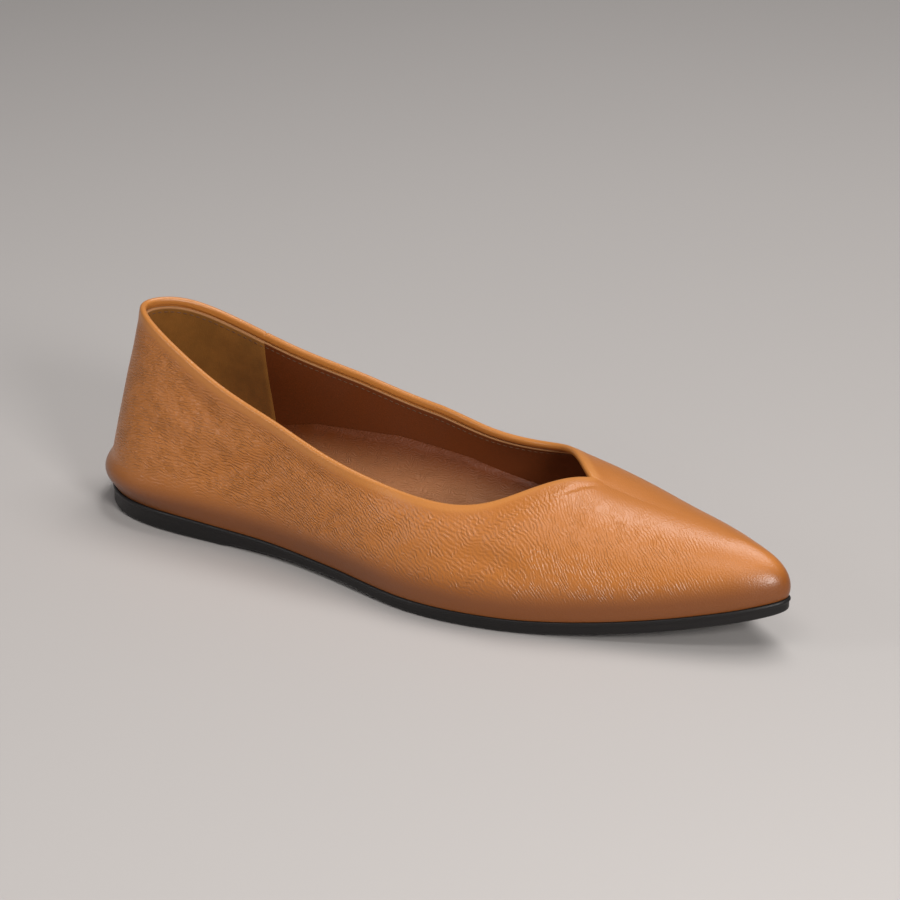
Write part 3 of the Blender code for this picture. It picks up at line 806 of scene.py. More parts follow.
def lining_leather(name, colour, edge_colour, roughness):
    """Thin smooth lining leather with a raw, lighter cut edge."""
    material, tree, shader, place = new_material(name, Specular_IOR_Level=0.35)
    grain = place_effect(tree, pore_effect(), {"Place": place, "Scale": 2600.0})
    base = blend_colours(tree, grain.outputs["Mottle"], colour, tuple(c * 0.75 for c in colour))
    base = blend_colours(tree, attribute(tree, "edge"), base, edge_colour)
    rough = ramp(tree, grain.outputs["Mottle"], 0.3, 0.7, roughness - 0.06, roughness + 0.06)
    link_shader(tree, shader, Base_Color=base, Roughness=rough,
                Normal=add_bump(tree, grain.outputs["Height"], 0.05 * MM))
    return material


def napped_leather(name, colour, edge_colour):
    """Suede of the heel grip: napped, dull, brushed lighter and darker."""
    material, tree, shader, place = new_material(name, Specular_IOR_Level=0.15, Sheen_Weight=0.03,
                                                 Sheen_Roughness=0.6)
    nap = add_node(tree, "ShaderNodeTexNoise", {"Vector": place, "Scale": 2600.0, "Detail": 3.0})
    brushed = add_node(tree, "ShaderNodeTexNoise",
                       {"Vector": place, "Scale": 85.0, "Detail": 4.0, "Roughness": 0.65})
    share = ramp(tree, brushed.outputs["Fac"], 0.35, 0.65)
    base = blend_colours(tree, share, colour, tuple(c * 0.8 for c in colour))
    base = blend_colours(tree, attribute(tree, "edge"), base, edge_colour)
    rough = ramp(tree, nap.outputs["Fac"], 0.3, 0.7, 0.8, 0.95)
    link_shader(tree, shader, Base_Color=base, Roughness=rough,
                Normal=add_bump(tree, nap.outputs["Fac"], 0.10 * MM))
    return material


def footbed_leather(settings, lining_colour):
    """Brown leather of the footbed, with fine wrinkles across the foot."""
    material, tree, shader, place = new_material("brown footbed leather", Specular_IOR_Level=0.4)
    wrinkles = place_effect(tree, wrinkle_effect(), {
        "Flat": attribute(tree, "flat", "Vector"), "Angle": 2.2, "Spacing": 1.15 * MM,
        "Waviness": 1.6, "Clusters": 0.5})
    grain = place_effect(tree, pore_effect(), {"Place": place, "Scale": 2400.0})
    base = blend_colours(tree, grain.outputs["Mottle"], tuple(settings.footbed_colour),
                         tuple(c * 0.72 for c in settings.footbed_colour))
    # Up its turned edge the footbed takes the lining's dark colour: a soft join to the lining, and
    # painted shade that dims the rounded edge where it catches the light.
    base = blend_colours(tree, ramp(tree, attribute(tree, "turn"), 0.55, 1.0), base, lining_colour)
    rough = ramp(tree, wrinkles.outputs["Cluster"], 0.0, 1.0, 0.46, 0.58)
    pores = math_node(tree, "MULTIPLY", grain.outputs["Height"], 0.25)
    bump = add_bump(tree, math_node(tree, "ADD", wrinkles.outputs["Height"], pores), 0.16 * MM)
    link_shader(tree, shader, Base_Color=base, Roughness=rough, Normal=bump)
    return material


def sole_rubber(settings):
    """Moulded black rubber: satin, faintly speckled, scuffed paler at the tread."""
    material, tree, shader, place = new_material("black moulded rubber", Specular_IOR_Level=0.3)
    speckle = add_node(tree, "ShaderNodeTexNoise",
                       {"Vector": place, "Scale": 1500.0, "Detail": 3.0})
    cloud = add_node(tree, "ShaderNodeTexNoise",
                     {"Vector": place, "Scale": 60.0, "Detail": 4.0, "Roughness": 0.6})
    worn = math_node(tree, "MULTIPLY", attribute(tree, "tread"),
                     ramp(tree, cloud.outputs["Fac"], 0.45, 0.7))
    base = blend_colours(tree, math_node(tree, "MULTIPLY", worn, 0.6),
                         tuple(settings.rubber_colour), (0.05, 0.046, 0.042))
    rough = ramp(tree, speckle.outputs["Fac"], 0.3, 0.7, settings.rubber_roughness - 0.04,
                 settings.rubber_roughness + 0.08)
    link_shader(tree, shader, Base_Color=base, Roughness=rough,
                Normal=add_bump(tree, speckle.outputs["Fac"], 0.03 * MM))
    return material


def thread_material(settings):
    """Waxed thread of the lining's stitches."""
    material, tree, shader, place = new_material("brown waxed thread", Specular_IOR_Level=0.4)
    twist = add_node(tree, "ShaderNodeTexNoise", {"Vector": place, "Scale": 3000.0, "Detail": 2.0})
    base = blend_colours(tree, twist.outputs["Fac"], tuple(settings.thread_colour),
                         tuple(c * 0.6 for c in settings.thread_colour))
    rough = ramp(tree, twist.outputs["Fac"], 0.3, 0.7, 0.5, 0.65)
    link_shader(tree, shader, Base_Color=base, Roughness=rough)
    return material


# Settings.

def colour_property(name, description, value):
    """A colour that the user can change."""
    return bpy.props.FloatVectorProperty(name=name, description=description, default=value,
                                         subtype="COLOR", size=3, min=0.0, max=1.0)


def size_property(name, description, value, high=0.05):
    """A length that the user can change."""
    return bpy.props.FloatProperty(name=name, description=description, default=value, min=0.0,
                                   max=high, subtype="DISTANCE", unit="LENGTH", precision=5)


def share_property(name, description, value, low=0.0, high=1.0):
    """A share or factor that the user can change."""
    return bpy.props.FloatProperty(name=name, description=description, default=value, min=low,
                                   max=high, subtype="FACTOR")


def power_property(name, description, value):
    """A light's power that the user can change."""
    return bpy.props.FloatProperty(name=name, description=description, default=value, min=0.0,
                                   max=500.0, unit="POWER")


class UpperSettings(bpy.types.PropertyGroup):
    """Sizes and colours of the leather upper."""
    rim_width: size_property("Rim width", "Turned edge along the topline", 3.4 * MM)
    rim_raise: size_property("Rim raise", "How much thicker the turned edge is", 0.22 * MM)
    seam_share: share_property("Seam", "Share of the walk at which the medial seam meets the rim",
                               0.212, 0.1, 0.4)
    seam_depth: size_property("Seam depth", "Depth of the seam's groove", 0.30 * MM)
    crease_scale: share_property("Creases", "Factor on the depths of the soft creases", 2.4,
                                 0.0, 4.0)
    wrinkle_spacing: size_property("Wrinkle spacing", "Distance between fine wrinkles", 1.1 * MM)
    wrinkle_depth: size_property("Wrinkle depth", "Depth of the fine wrinkles", 0.50 * MM)
    leather_colour: colour_property("Leather", "Tan of the leather", (0.50, 0.170, 0.029))
    # Painted shade: the dark colour that the leather is mixed to near the sole.
    painted_shade_low: colour_property("Leather low", "Painted shade band by the sole", (0.155, 0.038, 0.003))
    # Lighter orange of the turned rim: partly its own colour, partly a painted highlight for the
    # light that its rolled top catches.
    rim_colour: colour_property("Rim", "Turned edge", (0.66, 0.27, 0.060))
    leather_roughness: share_property("Roughness", "Roughness of the leather", 0.34)


class LiningSettings(bpy.types.PropertyGroup):
    """Sizes and colours of the linings and their stitches."""
    drop: size_property("Drop", "Topline to the lining's edge", 2.4 * MM)
    thick: size_property("Thickness", "Thickness of the lining", 0.7 * MM)
    grip_proud: size_property("Grip", "How far the heel grip stands proud", 0.45 * MM)
    grip_share: share_property("Grip reach",
                               "Share of the walk that the heel grip covers each side",
                               0.212, 0.1, 0.4)
    stitch_pitch: size_property("Stitch pitch", "From one stitch to the next", 2.3 * MM)
    lining_colour: colour_property("Lining", "Quarter and vamp lining", (0.15, 0.034, 0.006))
    grip_colour: colour_property("Heel grip", "Suede of the heel grip", (0.27, 0.110, 0.020))
    edge_colour: colour_property("Cut edge", "Raw edge of the lining", (0.42, 0.20, 0.08))
    thread_colour: colour_property("Thread", "Stitches along the lining", (0.16, 0.07, 0.03))


class SoleSettings(bpy.types.PropertyGroup):
    """Sizes and colours of the sole and the footbed."""
    edge_round: size_property("Edge rounding", "Rounding of the tread's edge", 1.5 * MM)
    lip_high: size_property("Lip height", "Band along the top of the side", 1.5 * MM)
    lip_out: size_property("Lip", "How far the band stands out", 0.3 * MM)
    stud_pitch: size_property("Tread pitch", "From one tread stud to the next", 4.6 * MM)
    rubber_colour: colour_property("Rubber", "Moulded rubber", (0.010, 0.009, 0.009))
    rubber_roughness: share_property("Roughness", "Roughness of the rubber", 0.42)
    footbed_colour: colour_property("Footbed", "Footbed leather", (0.50, 0.215, 0.090))


class StageSettings(bpy.types.PropertyGroup):
    """Floor, light and camera."""
    floor_colour: colour_property("Floor", "Pale floor", (0.485, 0.460, 0.446))
    key_power: power_property("Key light", "Power of the overhead light", 22.0)
    side_power: power_property("Side light", "Power of the left light", 1.5)
    toe_power: power_property("Toe light", "Power that the front and toe lights share", 5.0)
    sky: bpy.props.FloatProperty(name="Sky", description="Strength of the even light all round",
                                 default=0.14, min=0.0, max=10.0)


# Pieces.

def finish_piece(piece, replaced):
    """Bind a piece to its body and hide the solid it stands for."""
    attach(piece, "root")
    if replaced:
        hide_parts(replaced)


def make_upper(settings, drop):
    """The hollow leather shell with its turned, rounded rim and its soft creases."""
    form = UpperForm(settings)
    width = settings.rim_width
    raised = settings.rim_raise * (1 - smooth(0.35 * width, 1.5 * width, form.away))
    creased = relief(form.points) * settings.crease_scale
    creased = creased * smooth(2.5 * MM, 7 * MM, form.away)
    over_sole = form.points[:, 2] - feather_height(form.points[:, 0])
    creased = creased * smooth(3 * MM, 9 * MM, over_sole)
    flat_place, angle, strength = wrinkle_marks(form)
    groove = seam_groove(form) * settings.seam_depth
    skin = form.points + form.normals * (raised + creased - groove)[:, None] + UP * 0.1 * MM
    numbers = np.array(form.rings)
    shell = Shell()
    flat = len(form.points)
    marks = {"flat": np.zeros((flat, 3)), "angle": np.zeros(flat), "wrinkle": np.zeros(flat),
             "low": np.zeros(flat)}
    # Share of painted shade on the leather: full up to 4 mm above the feather line, gone by 15 mm.
    low = 1 - smooth(4 * MM, 15 * MM, form.climbs)
    for row in range(numbers.shape[0]):
        marks["flat"][numbers[row]] = flat_place[row]
        marks["angle"][numbers[row]] = angle[row]
        marks["wrinkle"][numbers[row]] = strength[row]
        marks["low"][numbers[row]] = low[row]
    # The rim mark tells where the leather is painted the lighter rim colour, partly a painted
    # highlight.
    marks["rim"] = 1 - smooth(0.3 * width, 0.85 * width, form.away)
    shell.ring(skin, **marks)
    shell.faces = [list(face) for face in form.faces]
    count = len(form.places)
    drops = drop + np.array([-1.8, -1.25, -1.05, -0.85, -0.6, 0.0, 0.5]) * MM
    climbs = [form.ends - drop for drop in drops]
    lowest = climbs[-1]
    climbs += [lowest * share for share in np.linspace(1.0, 0.0, INNER_ROWS - len(drops) + 1)[1:]]
    climbs = np.array(climbs)
    inner = LAST.wall(form.places, climbs)
    normals = grid_normals(inner)
    away = nearest(inner.reshape(-1, 3), finer(form.topline)).reshape(inner.shape[:2])
    depth = WALL - 0.75 * MM * smooth(drop - 1.15 * MM, drop - 0.85 * MM, away)
    inside = inner - normals * depth[..., None]
    inside[-1] = inner[-1] - unit(normals[-1] * np.array([1.0, 1.0, 0.0])) * WALL
    inside[-1][:, 2] = feather_height(inside[-1][:, 0]) + 0.1 * MM
    top = form.points[form.rings[-1]] - form.normals[form.rings[-1]] * WALL
    top_ring = weld_top(shell.ring(top, rim=np.ones(count)), LAST, form.places, LAST.throat)
    upper_ring = top_ring
    for row, ring_points in enumerate(inside):
        ring = shell.ring(ring_points, rim=(away[row] < drop) * 1.0)
        shell.skin(ring, upper_ring, flip=True)
        upper_ring = ring
    shell.skin(form.rings[0], upper_ring, flip=True)
    edge = skin[form.loop]
    facing = form.normals[form.loop]
    position = {corner: i for i, corner in enumerate(form.rings[-1])}
    inner_loop = [top_ring[position[corner]] for corner in form.loop]
    lining = np.array([shell.points[i] for i in inner_loop])
    tangent = unit(np.roll(edge, -1, axis=0) - np.roll(edge, 1, axis=0))
    opening = unit(np.cross(facing, tangent))
    middle = (edge + lining) / 2
    radius = np.linalg.norm(edge - lining, axis=1, keepdims=True) / 2
    radius = radius * (1 - 0.2 * seam_groove(form)[form.loop][:, None])
    shell.bead(form.loop, inner_loop, (middle, radius, facing, opening), 10, "rim")
    piece = shell.object("leather_upper", upper_leather(settings), 60)
    finish_piece(piece, "upper")
    return form


def grid_normals(grid):
    """Outward normals of a grid of rows down the side by columns round it."""
    along = np.roll(grid, -1, axis=1) - np.roll(grid, 1, axis=1)
    down = np.gradient(grid, axis=0)
    return unit(np.cross(down, along))


def make_outsole(settings):
    """One rubber unit: tread, rounded edge, side, lip and the seat under the upper."""
    places = spaced_places(LAST, 130, 4, 50, 60)
    edge = LAST.outline(places)
    out = LAST.outward(places)
    bottom = tread_height(edge[:, 0])
    top = feather_height(edge[:, 0])
    side = settings.lip_out + 0.1 * MM
    round_ = settings.edge_round
    lip = settings.lip_high
    profile = [(round_ + side + 4.5 * MM, bottom + 0.7 * MM, 1.0),
               (round_ + side + 3.6 * MM, bottom + 0.7 * MM, 1.0),
               (round_ + side + 3.2 * MM, bottom, 1.0)]
    for angle in np.linspace(0.0, 90.0, 7):
        turn = math.radians(angle)
        profile.append((side + round_ * (1 - math.sin(turn)),
                        bottom + round_ * (1 - math.cos(turn)), 1.0 - angle / 90))
    profile += [(side, top - lip - 0.25 * MM, 0.0), (side * 0.85, top - lip, 0.0)]
    for angle in np.linspace(0.0, 90.0, 6)[1:]:
        turn = math.radians(angle)
        profile.append((0.45 * MM * (1 - math.cos(turn)) if angle > 45 else 0.0,
                        top - lip * 0.85 + lip * 0.85 * math.sin(turn), 0.0))
    profile += [(1.2 * MM, top, 0.0), (2.2 * MM, top, 0.0)]
    shell = Shell()
    rings = []
    for inset, height, tread in profile:
        plan = np.column_stack([edge, np.zeros(len(edge))]) - out * inset
        rings.append(shell.ring(plan + UP * np.broadcast_to(height, len(edge))[:, None],
                                tread=np.full(len(edge), tread)))
    shell.stack(rings)
    for ring, flip in ((rings[0], True), (rings[-1], False)):
        lateral, medial = pairs_across(ring)
        shell.skin(lateral, medial, closed=False, flip=flip)
    piece = shell.object("rubber_sole", sole_rubber(settings), 35)
    finish_piece(piece, "outsole")


def geometry_tree(name, source, sizes, result):
    """A Geometry Nodes tree with its sockets, the geometry first, and its two end nodes."""
    tree = bpy.data.node_groups.new(name, "GeometryNodeTree")
    tree.is_modifier = True
    tree.interface.new_socket(name=source, in_out="INPUT", socket_type="NodeSocketGeometry")
    for title, value in sizes.items():
        tree.interface.new_socket(name=title, in_out="INPUT",
                                  socket_type="NodeSocketFloat").default_value = value
    tree.interface.new_socket(name="Material", in_out="INPUT", socket_type="NodeSocketMaterial")
    tree.interface.new_socket(name=result, in_out="OUTPUT", socket_type="NodeSocketGeometry")
    return tree, tree.nodes.new("NodeGroupInput"), tree.nodes.new("NodeGroupOutput")


def stud_tree():
    """Geometry Nodes that set a small tapered stud on every point."""
    tree, entry, leave = geometry_tree("studs on points", "Seats", STUD_SIZES, "Studs")
    stud = add_node(tree, "GeometryNodeMeshCone",
                    {"Vertices": 12, "Radius Top": entry.outputs["Foot"],
                     "Radius Bottom": entry.outputs["Tip"], "Depth": entry.outputs["Height"]})
    placed = add_node(tree, "GeometryNodeInstanceOnPoints",
                      {"Points": entry.outputs["Seats"], "Instance": stud.outputs["Mesh"]})
    solid = add_node(tree, "GeometryNodeRealizeInstances",
                     {"Geometry": placed.outputs["Instances"]})
    dressed = add_node(tree, "GeometryNodeSetMaterial",
                       {"Geometry": solid.outputs["Geometry"],
                        "Material": entry.outputs["Material"]})
    tree.links.new(dressed.outputs["Geometry"], leave.inputs["Studs"])
    return tree


def inside_outline(points, outline):
    """Which plan points lie inside a closed outline."""
    inside = np.zeros(len(points), bool)
    for (x0, y0), (x1, y1) in zip(outline, np.roll(outline, -1, axis=0)):
        between = (y0 > points[:, 1]) != (y1 > points[:, 1])
        rise = y1 - y0 if y1 != y0 else 1.0
        inside ^= between & (points[:, 0] < x0 + (points[:, 1] - y0) * (x1 - x0) / rise)
    return inside


def make_tread(settings):
    """Staggered rows of studs over the sunk field of the tread."""
    outline = LAST.outline(spaced_places(LAST, 130, 4, 50, 60))
    pitch = settings.stud_pitch
    row = pitch * math.sqrt(0.75)
    low, high = outline.min(axis=0), outline.max(axis=0)
    rows = [(low[0] + row * i, low[1] + pitch * (j + 0.5 * (i % 2)))
            for i in range(int((high[0] - low[0]) / row) + 1)
            for j in range(int((high[1] - low[1]) / pitch) + 1)]
    plan = np.array(rows)
    gap = np.linalg.norm(plan[:, None, :] - outline[None, :, :], axis=2).min(axis=1)
    clear = 1.9 * MM + settings.edge_round + settings.lip_out + 4.6 * MM
    plan = plan[inside_outline(plan, outline) & (gap > clear)]
    seats = np.column_stack([plan, tread_height(plan[:, 0]) + 0.42 * MM])
    mesh = bpy.data.meshes.new("tread_studs_path")
    mesh.from_pydata([tuple(p) for p in seats + SHIFT], [], [])
    piece = run_nodes("tread_studs", mesh, stud_tree(),
                      STUD_SIZES, sole_rubber(settings))
    finish_piece(piece, None)


def make_footbed(settings, lining_colour):
    """The covered footbed.  Its leather turns up the wall in a soft hollow, highest at the arch."""
    places = spaced_places(LAST, 110, 4, 40, 40)
    edge = LAST.outline(places)
    out = LAST.outward(places)
    share = LAST.half_walk(places) / LAST.tip
    lateral_side = places <= LAST.tip
    stops = np.array([t.share for t in TURN_UPS])

    def turned(name):
        sides = [np.interp(share, stops, [getattr(t, side + name) for t in TURN_UPS])
                 for side in ("lateral_", "medial_")]
        return np.where(lateral_side, *sides) * MM

    up = turned("up")
    inset = turned("in")
    base = np.column_stack([edge, np.zeros(len(edge))]) - out * (FEATHER_IN + WALL + GAP)
    seat = feather_height(base[:, 0]) + GAP
    base[:, 2] = seat
    wall = LAST.wall(places, (INSOLE_THICK + np.linspace(0.0, 1.0, 9)[:, None] * up[None, :]))
    normals = grid_normals(wall[::-1])[::-1]
    against = wall - normals * (WALL + 0.05 * MM)
    shown = wall - normals * (WALL + 0.35 * MM)
    shell = Shell()

    def ring(points, turn):
        spread = points.copy()
        rise = points[:, 2] - feather_height(points[:, 0]) - GAP - INSOLE_THICK
        spread[:, 1] += np.sign(points[:, 1]) * rise
        spread[:, 2] = 0.0
        return shell.ring(points, flat=spread, turn=np.full(len(points), turn))

    # The turn mark is 1 up the wall and falls to 0 across the hollow; where it is high the material
    # paints the lining's dark colour, partly painted shade.
    rings = [ring(base, 1.0)] + [ring(points, 1.0) for points in against]
    rings.append(ring(shown[-1], 1.0))
    top = shown[-1]
    flat = top - out * inset[:, None]
    flat[:, 2] = feather_height(flat[:, 0]) + GAP + INSOLE_THICK
    corner = shown[0] * 0.75 + flat * 0.25
    corner[:, 2] = flat[:, 2]
    for t in np.linspace(0.0, 1.0, 15)[1:]:
        rings.append(ring((1 - t) ** 2 * top + 2 * t * (1 - t) * corner + t * t * flat, 1 - t))
    shell.stack(rings)
    lateral, medial = pairs_across(rings[0])
    shell.skin(lateral, medial, closed=False, flip=True)
    lateral, medial = pairs_across(rings[-1])
    points = np.array(shell.points)
    strips = 30
    columns = [lateral]
    for step in range(1, strips):
        a = points[lateral[1:-1]]
        b = points[medial[1:-1]]
        strip = a + (b - a) * (step / strips)
        strip[:, 2] = feather_height(strip[:, 0]) + GAP + INSOLE_THICK
        columns.append([lateral[0]] + ring(strip, 0.0) + [lateral[-1]])
    columns.append(medial)
    shell.stack(columns, closed=False)
    piece = shell.object("footbed", footbed_leather(settings, lining_colour), 80)
    finish_piece(piece, "insole")


def lining_form(form, drop):
    """Columns of the lining, cut where they come within the drop of the topline."""
    line = finer(form.topline)
    walks = np.linspace(LAST.throat, LAST.throat + 12 * MM, 200)
    ridge = LAST.columns(walks)[3]
    gap = np.linalg.norm(ridge - LAST.columns(np.array([LAST.throat]))[3], axis=1)
    throat = float(np.interp(drop, gap, walks))
    places = spaced_places(LAST, 120, 8, 40, 32, throat)
    ends = LAST.lengths(places)[1]
    walk = LAST.half_walk(places)
    shares = np.linspace(0.4, 1.0, 161)
    dense = LAST.wall(places, shares[:, None] * ends[None, :])
    away = nearest(dense.reshape(-1, 3), line).reshape(dense.shape[:2])
    cut = ends.copy()
    for i in range(len(places)):
        if walk[i] < throat - 0.01 * MM:
            below = np.nonzero(away[:, i] > drop)[0]
            last_below = below[-1]
            if last_below < len(shares) - 1:
                a0, a1 = away[last_below, i], away[last_below + 1, i]
                t = (a0 - drop) / max(a0 - a1, 1e-9)
                cut[i] = ends[i] * (shares[last_below] + t * (shares[1] - shares[0]))
    return places, cut, throat


def make_lining(form, settings):
    """Thin lining of quarters and vamp, from just below the turned rim to the footbed."""
    places, cut, throat = lining_form(form, settings.drop)
    rows = 44
    t = np.linspace(0.0, 1.0, rows + 1)
    share = 1 - (1 - t) ** 1.3
    climbs = LINING_FOOT + share[:, None] * (cut[None, :] - LINING_FOOT)
    grid = LAST.wall(places, climbs)
    normals = grid_normals(grid[::-1])[::-1]
    shell = Shell()
    hidden = [shell.ring(points) for points in grid - normals * (WALL - settings.thick + 0.02 * MM)]
    shown = [shell.ring(points) for points in grid - normals * (WALL + PROUD)]
    half = (settings.thick + 0.01 * MM) / 2
    hidden[-1] = weld_top(hidden[-1], LAST, places, throat)
    shown[-1] = weld_top(shown[-1], LAST, places, throat)
    shell.stack(hidden)
    shell.stack(shown, flip=True)
    shell.skin(hidden[0], shown[0], flip=True)
    count = len(places)
    at = int(np.argmin(np.abs(places - throat)))
    order = list(range(at + 1)) + list(range(count - at + 1, count))
    points = np.array(shell.points)
    outer_loop = [hidden[-1][i] for i in order]
    inner_loop = [shown[-1][i] for i in order]
    a, b = points[outer_loop], points[inner_loop]
    facing = unit(a - b)
    tangent = unit(np.roll(a, -1, axis=0) - np.roll(a, 1, axis=0))
    opening = unit(np.cross(facing, tangent))
    shell.bead(outer_loop, inner_loop, ((a + b) / 2, half, facing, opening), 5, "edge")
    for corner in outer_loop + inner_loop:
        shell.marks["edge"][corner] = 1.0
    piece = shell.object("quarter_lining", lining_leather(
        "dark brown lining leather", tuple(settings.lining_colour), tuple(settings.edge_colour),
        0.5), 60)
    finish_piece(piece, None)
    return places, cut, throat


def signed_walk(places):
    """Walk from the heel back, with the medial side below zero."""
    return np.where(places <= LAST.tip, places, places - 2 * LAST.tip)


def make_grip(settings, lined):
    """Suede heel grip over the lining, with a curved front edge on each side."""
    places, cut = lined[:2]
    reach = settings.grip_share * LAST.tip
    steps = 150
    walk = np.linspace(-1.0, 1.0, steps + 1)
    rows = 40
    t = np.linspace(0.0, 1.0, rows + 1)
    up = 1 - (1 - t) ** 1.3
    order = np.argsort(signed_walk(places))
    signed = signed_walk(places)[order]
    ends = cut[order]
    points = np.zeros((rows + 1, steps + 1, 3))
    for row, share in enumerate(up):
        bow = 1.0 + 0.05 * (1 - share) ** 1.5
        w = walk * reach * bow
        place = np.mod(w, 2 * LAST.tip)
        top = np.interp(w, signed, ends)
        climb = LINING_FOOT + share * (top - LINING_FOOT)
        points[row] = LAST.wall(place, climb[None, :])[0]
    along = np.gradient(points, axis=1)
    rise = np.gradient(points, axis=0)
    normals = unit(np.cross(along, rise))
    proud = settings.grip_proud
    front = smooth(1.0, 0.985, np.abs(walk))[None, :]
    depth = WALL + PROUD + proud * (0.15 + 0.85 * front)
    shell = Shell()
    hidden = [shell.ring(p) for p in points - normals * (WALL - 0.2 * MM)]
    shown = [shell.ring(p) for p in points - normals * depth[..., None]]
    shell.stack(hidden, closed=False)
    shell.stack(shown, closed=False, flip=True)
    shell.skin(hidden[0], shown[0], closed=False, flip=True)
    for side in (0, -1):
        shell.skin([ring[side] for ring in hidden], [ring[side] for ring in shown], closed=False,
                   flip=(side == 0))
    a = np.array([shell.points[i] for i in hidden[-1]])
    b = np.array([shell.points[i] for i in shown[-1]])
    facing = unit(a - b)
    tangent = unit(np.gradient(a, axis=0))
    opening = unit(np.cross(facing, tangent))
    radius = np.linalg.norm(a - b, axis=1, keepdims=True) / 2
    rings = shell.bead(hidden[-1], shown[-1], ((a + b) / 2, radius, facing, 0.8 * opening), 5,
                       "edge", closed=False)
    shell.faces.append([ring[0] for ring in rings])
    shell.faces.append([ring[-1] for ring in rings][::-1])
    for corner in shown[-1] + hidden[-1]:
        shell.marks["edge"][corner] = 1.0
    piece = shell.object("heel_grip", napped_leather(
        "khaki suede", tuple(settings.grip_colour), tuple(settings.edge_colour)), 60)
    finish_piece(piece, None)


def stitch_tree():
    """Geometry Nodes that lay stitches along a path, turned to the surface they lie on."""
    tree, entry, leave = geometry_tree("stitches along a path", "Path",
                                       {"Pitch": 2.3 * MM, **STITCH_SIZES}, "Stitches")
    curve = add_node(tree, "GeometryNodeMeshToCurve", {"Mesh": entry.outputs["Path"]})
    spaced = add_node(tree, "GeometryNodeResampleCurve", {"Curve": curve.outputs["Curve"]},
                      mode="LENGTH")
    tree.links.new(entry.outputs["Pitch"], spaced.inputs["Length"])
    facing = add_node(tree, "GeometryNodeInputNamedAttribute", data_type="FLOAT_VECTOR")
    facing.inputs["Name"].default_value = "facing"
    tangent = tree.nodes.new("GeometryNodeInputTangent")
    first = add_node(tree, "FunctionNodeAlignRotationToVector",
                     {"Vector": facing.outputs["Attribute"]}, axis="Z")
    second = add_node(tree, "FunctionNodeAlignRotationToVector",
                      {"Rotation": first.outputs["Rotation"], "Vector": tangent.outputs["Tangent"]},
                      axis="X", pivot_axis="Z")
    stitch = add_node(tree, "GeometryNodeMeshUVSphere", {"Segments": 8, "Rings": 6, "Radius": 1.0})
    half = add_node(tree, "ShaderNodeMath", {0: entry.outputs["Length"], 1: 0.5},
                    operation="MULTIPLY").outputs[0]
    flat = add_node(tree, "ShaderNodeMath", {0: entry.outputs["Radius"], 1: 0.8},
                    operation="MULTIPLY").outputs[0]
    size = add_node(tree, "ShaderNodeCombineXYZ",
                    {"X": half, "Y": entry.outputs["Radius"], "Z": flat}).outputs[0]
    placed = add_node(tree, "GeometryNodeInstanceOnPoints",
                      {"Points": spaced.outputs["Curve"], "Instance": stitch.outputs["Mesh"],
                       "Rotation": second.outputs["Rotation"], "Scale": size})
    solid = add_node(tree, "GeometryNodeRealizeInstances",
                     {"Geometry": placed.outputs["Instances"]})
    smooth_ = add_node(tree, "GeometryNodeSetShadeSmooth", {"Geometry": solid.outputs["Geometry"]})
    dressed = add_node(tree, "GeometryNodeSetMaterial",
                       {"Geometry": smooth_.outputs[0], "Material": entry.outputs["Material"]})
    tree.links.new(dressed.outputs["Geometry"], leave.inputs["Stitches"])
    return tree


def run_nodes(name, mesh, tree, values, material):
    """Run a Geometry Nodes tree on a mesh and keep the result as a plain piece."""
    carrier = bpy.data.objects.new(name + "_path", mesh)
    bpy.context.scene.collection.objects.link(carrier)
    modifier = carrier.modifiers.new("nodes", "NODES")
    modifier.node_group = tree
    sockets = {item.name: item.identifier for item in tree.interface.items_tree
               if item.in_out == "INPUT"}
    for title, value in values.items():
        modifier[sockets[title]] = value
    modifier[sockets["Material"]] = material
    bpy.context.view_layer.update()
    evaluated = carrier.evaluated_get(bpy.context.evaluated_depsgraph_get())
    result = bpy.data.meshes.new_from_object(evaluated)
    if not len(result.polygons):
        raise RuntimeError(name + " came out empty")
    result.name = name
    bpy.data.objects.remove(carrier)
    if not result.materials:
        result.materials.append(material)
    piece = bpy.data.objects.new(name, result)
    bpy.context.scene.collection.objects.link(piece)
    return piece


def make_stitches(settings, lined):
    """A row of small stitches just below the lining's edge, all round the collar."""
    places, cut, throat = lined
    walk = LAST.half_walk(places)
    keep = walk < throat - 5 * MM
    order = [i for i in np.argsort(signed_walk(places)) if keep[i]]
    below = 1.5 * MM
    line = LAST.wall(places[order], (cut[order] - below)[None, :])[0]
    under = LAST.wall(places[order], (cut[order] - below - 0.5 * MM)[None, :])[0]
    tangent = unit(np.gradient(line, axis=0))
    normals = unit(np.cross(tangent, line - under))
    share = walk[order] / LAST.tip
    proud = settings.grip_proud * (share < settings.grip_share)
    seat = line - normals * (WALL + PROUD + proud)[:, None]
    mesh = bpy.data.meshes.new("lining_stitches_path")
    mesh.from_pydata([tuple(p) for p in seat + SHIFT],
                     [(i, i + 1) for i in range(len(seat) - 1)], [])
    facing = mesh.attributes.new("facing", "FLOAT_VECTOR", "POINT")
    facing.data.foreach_set("vector", (-normals).astype(np.float32).ravel())
    piece = run_nodes("lining_stitches", mesh, stitch_tree(),
                      {"Pitch": settings.stitch_pitch, **STITCH_SIZES},
                      thread_material(settings))
    finish_piece(piece, None)


# Stage.

def soft_light(name, place, aim, size, power, colour):
    """A square area light aimed at a point."""
    lamp = bpy.data.lights.new(name, "AREA")
    lamp.shape = "RECTANGLE"
    lamp.size, lamp.size_y = size
    lamp.energy = power
    lamp.color = colour
    light = bpy.data.objects.new(name, lamp)
    light.location = place
    direction = Vector(aim) - Vector(place)
    light.rotation_euler = direction.to_track_quat("-Z", "Y").to_euler()
    bpy.context.scene.collection.objects.link(light)


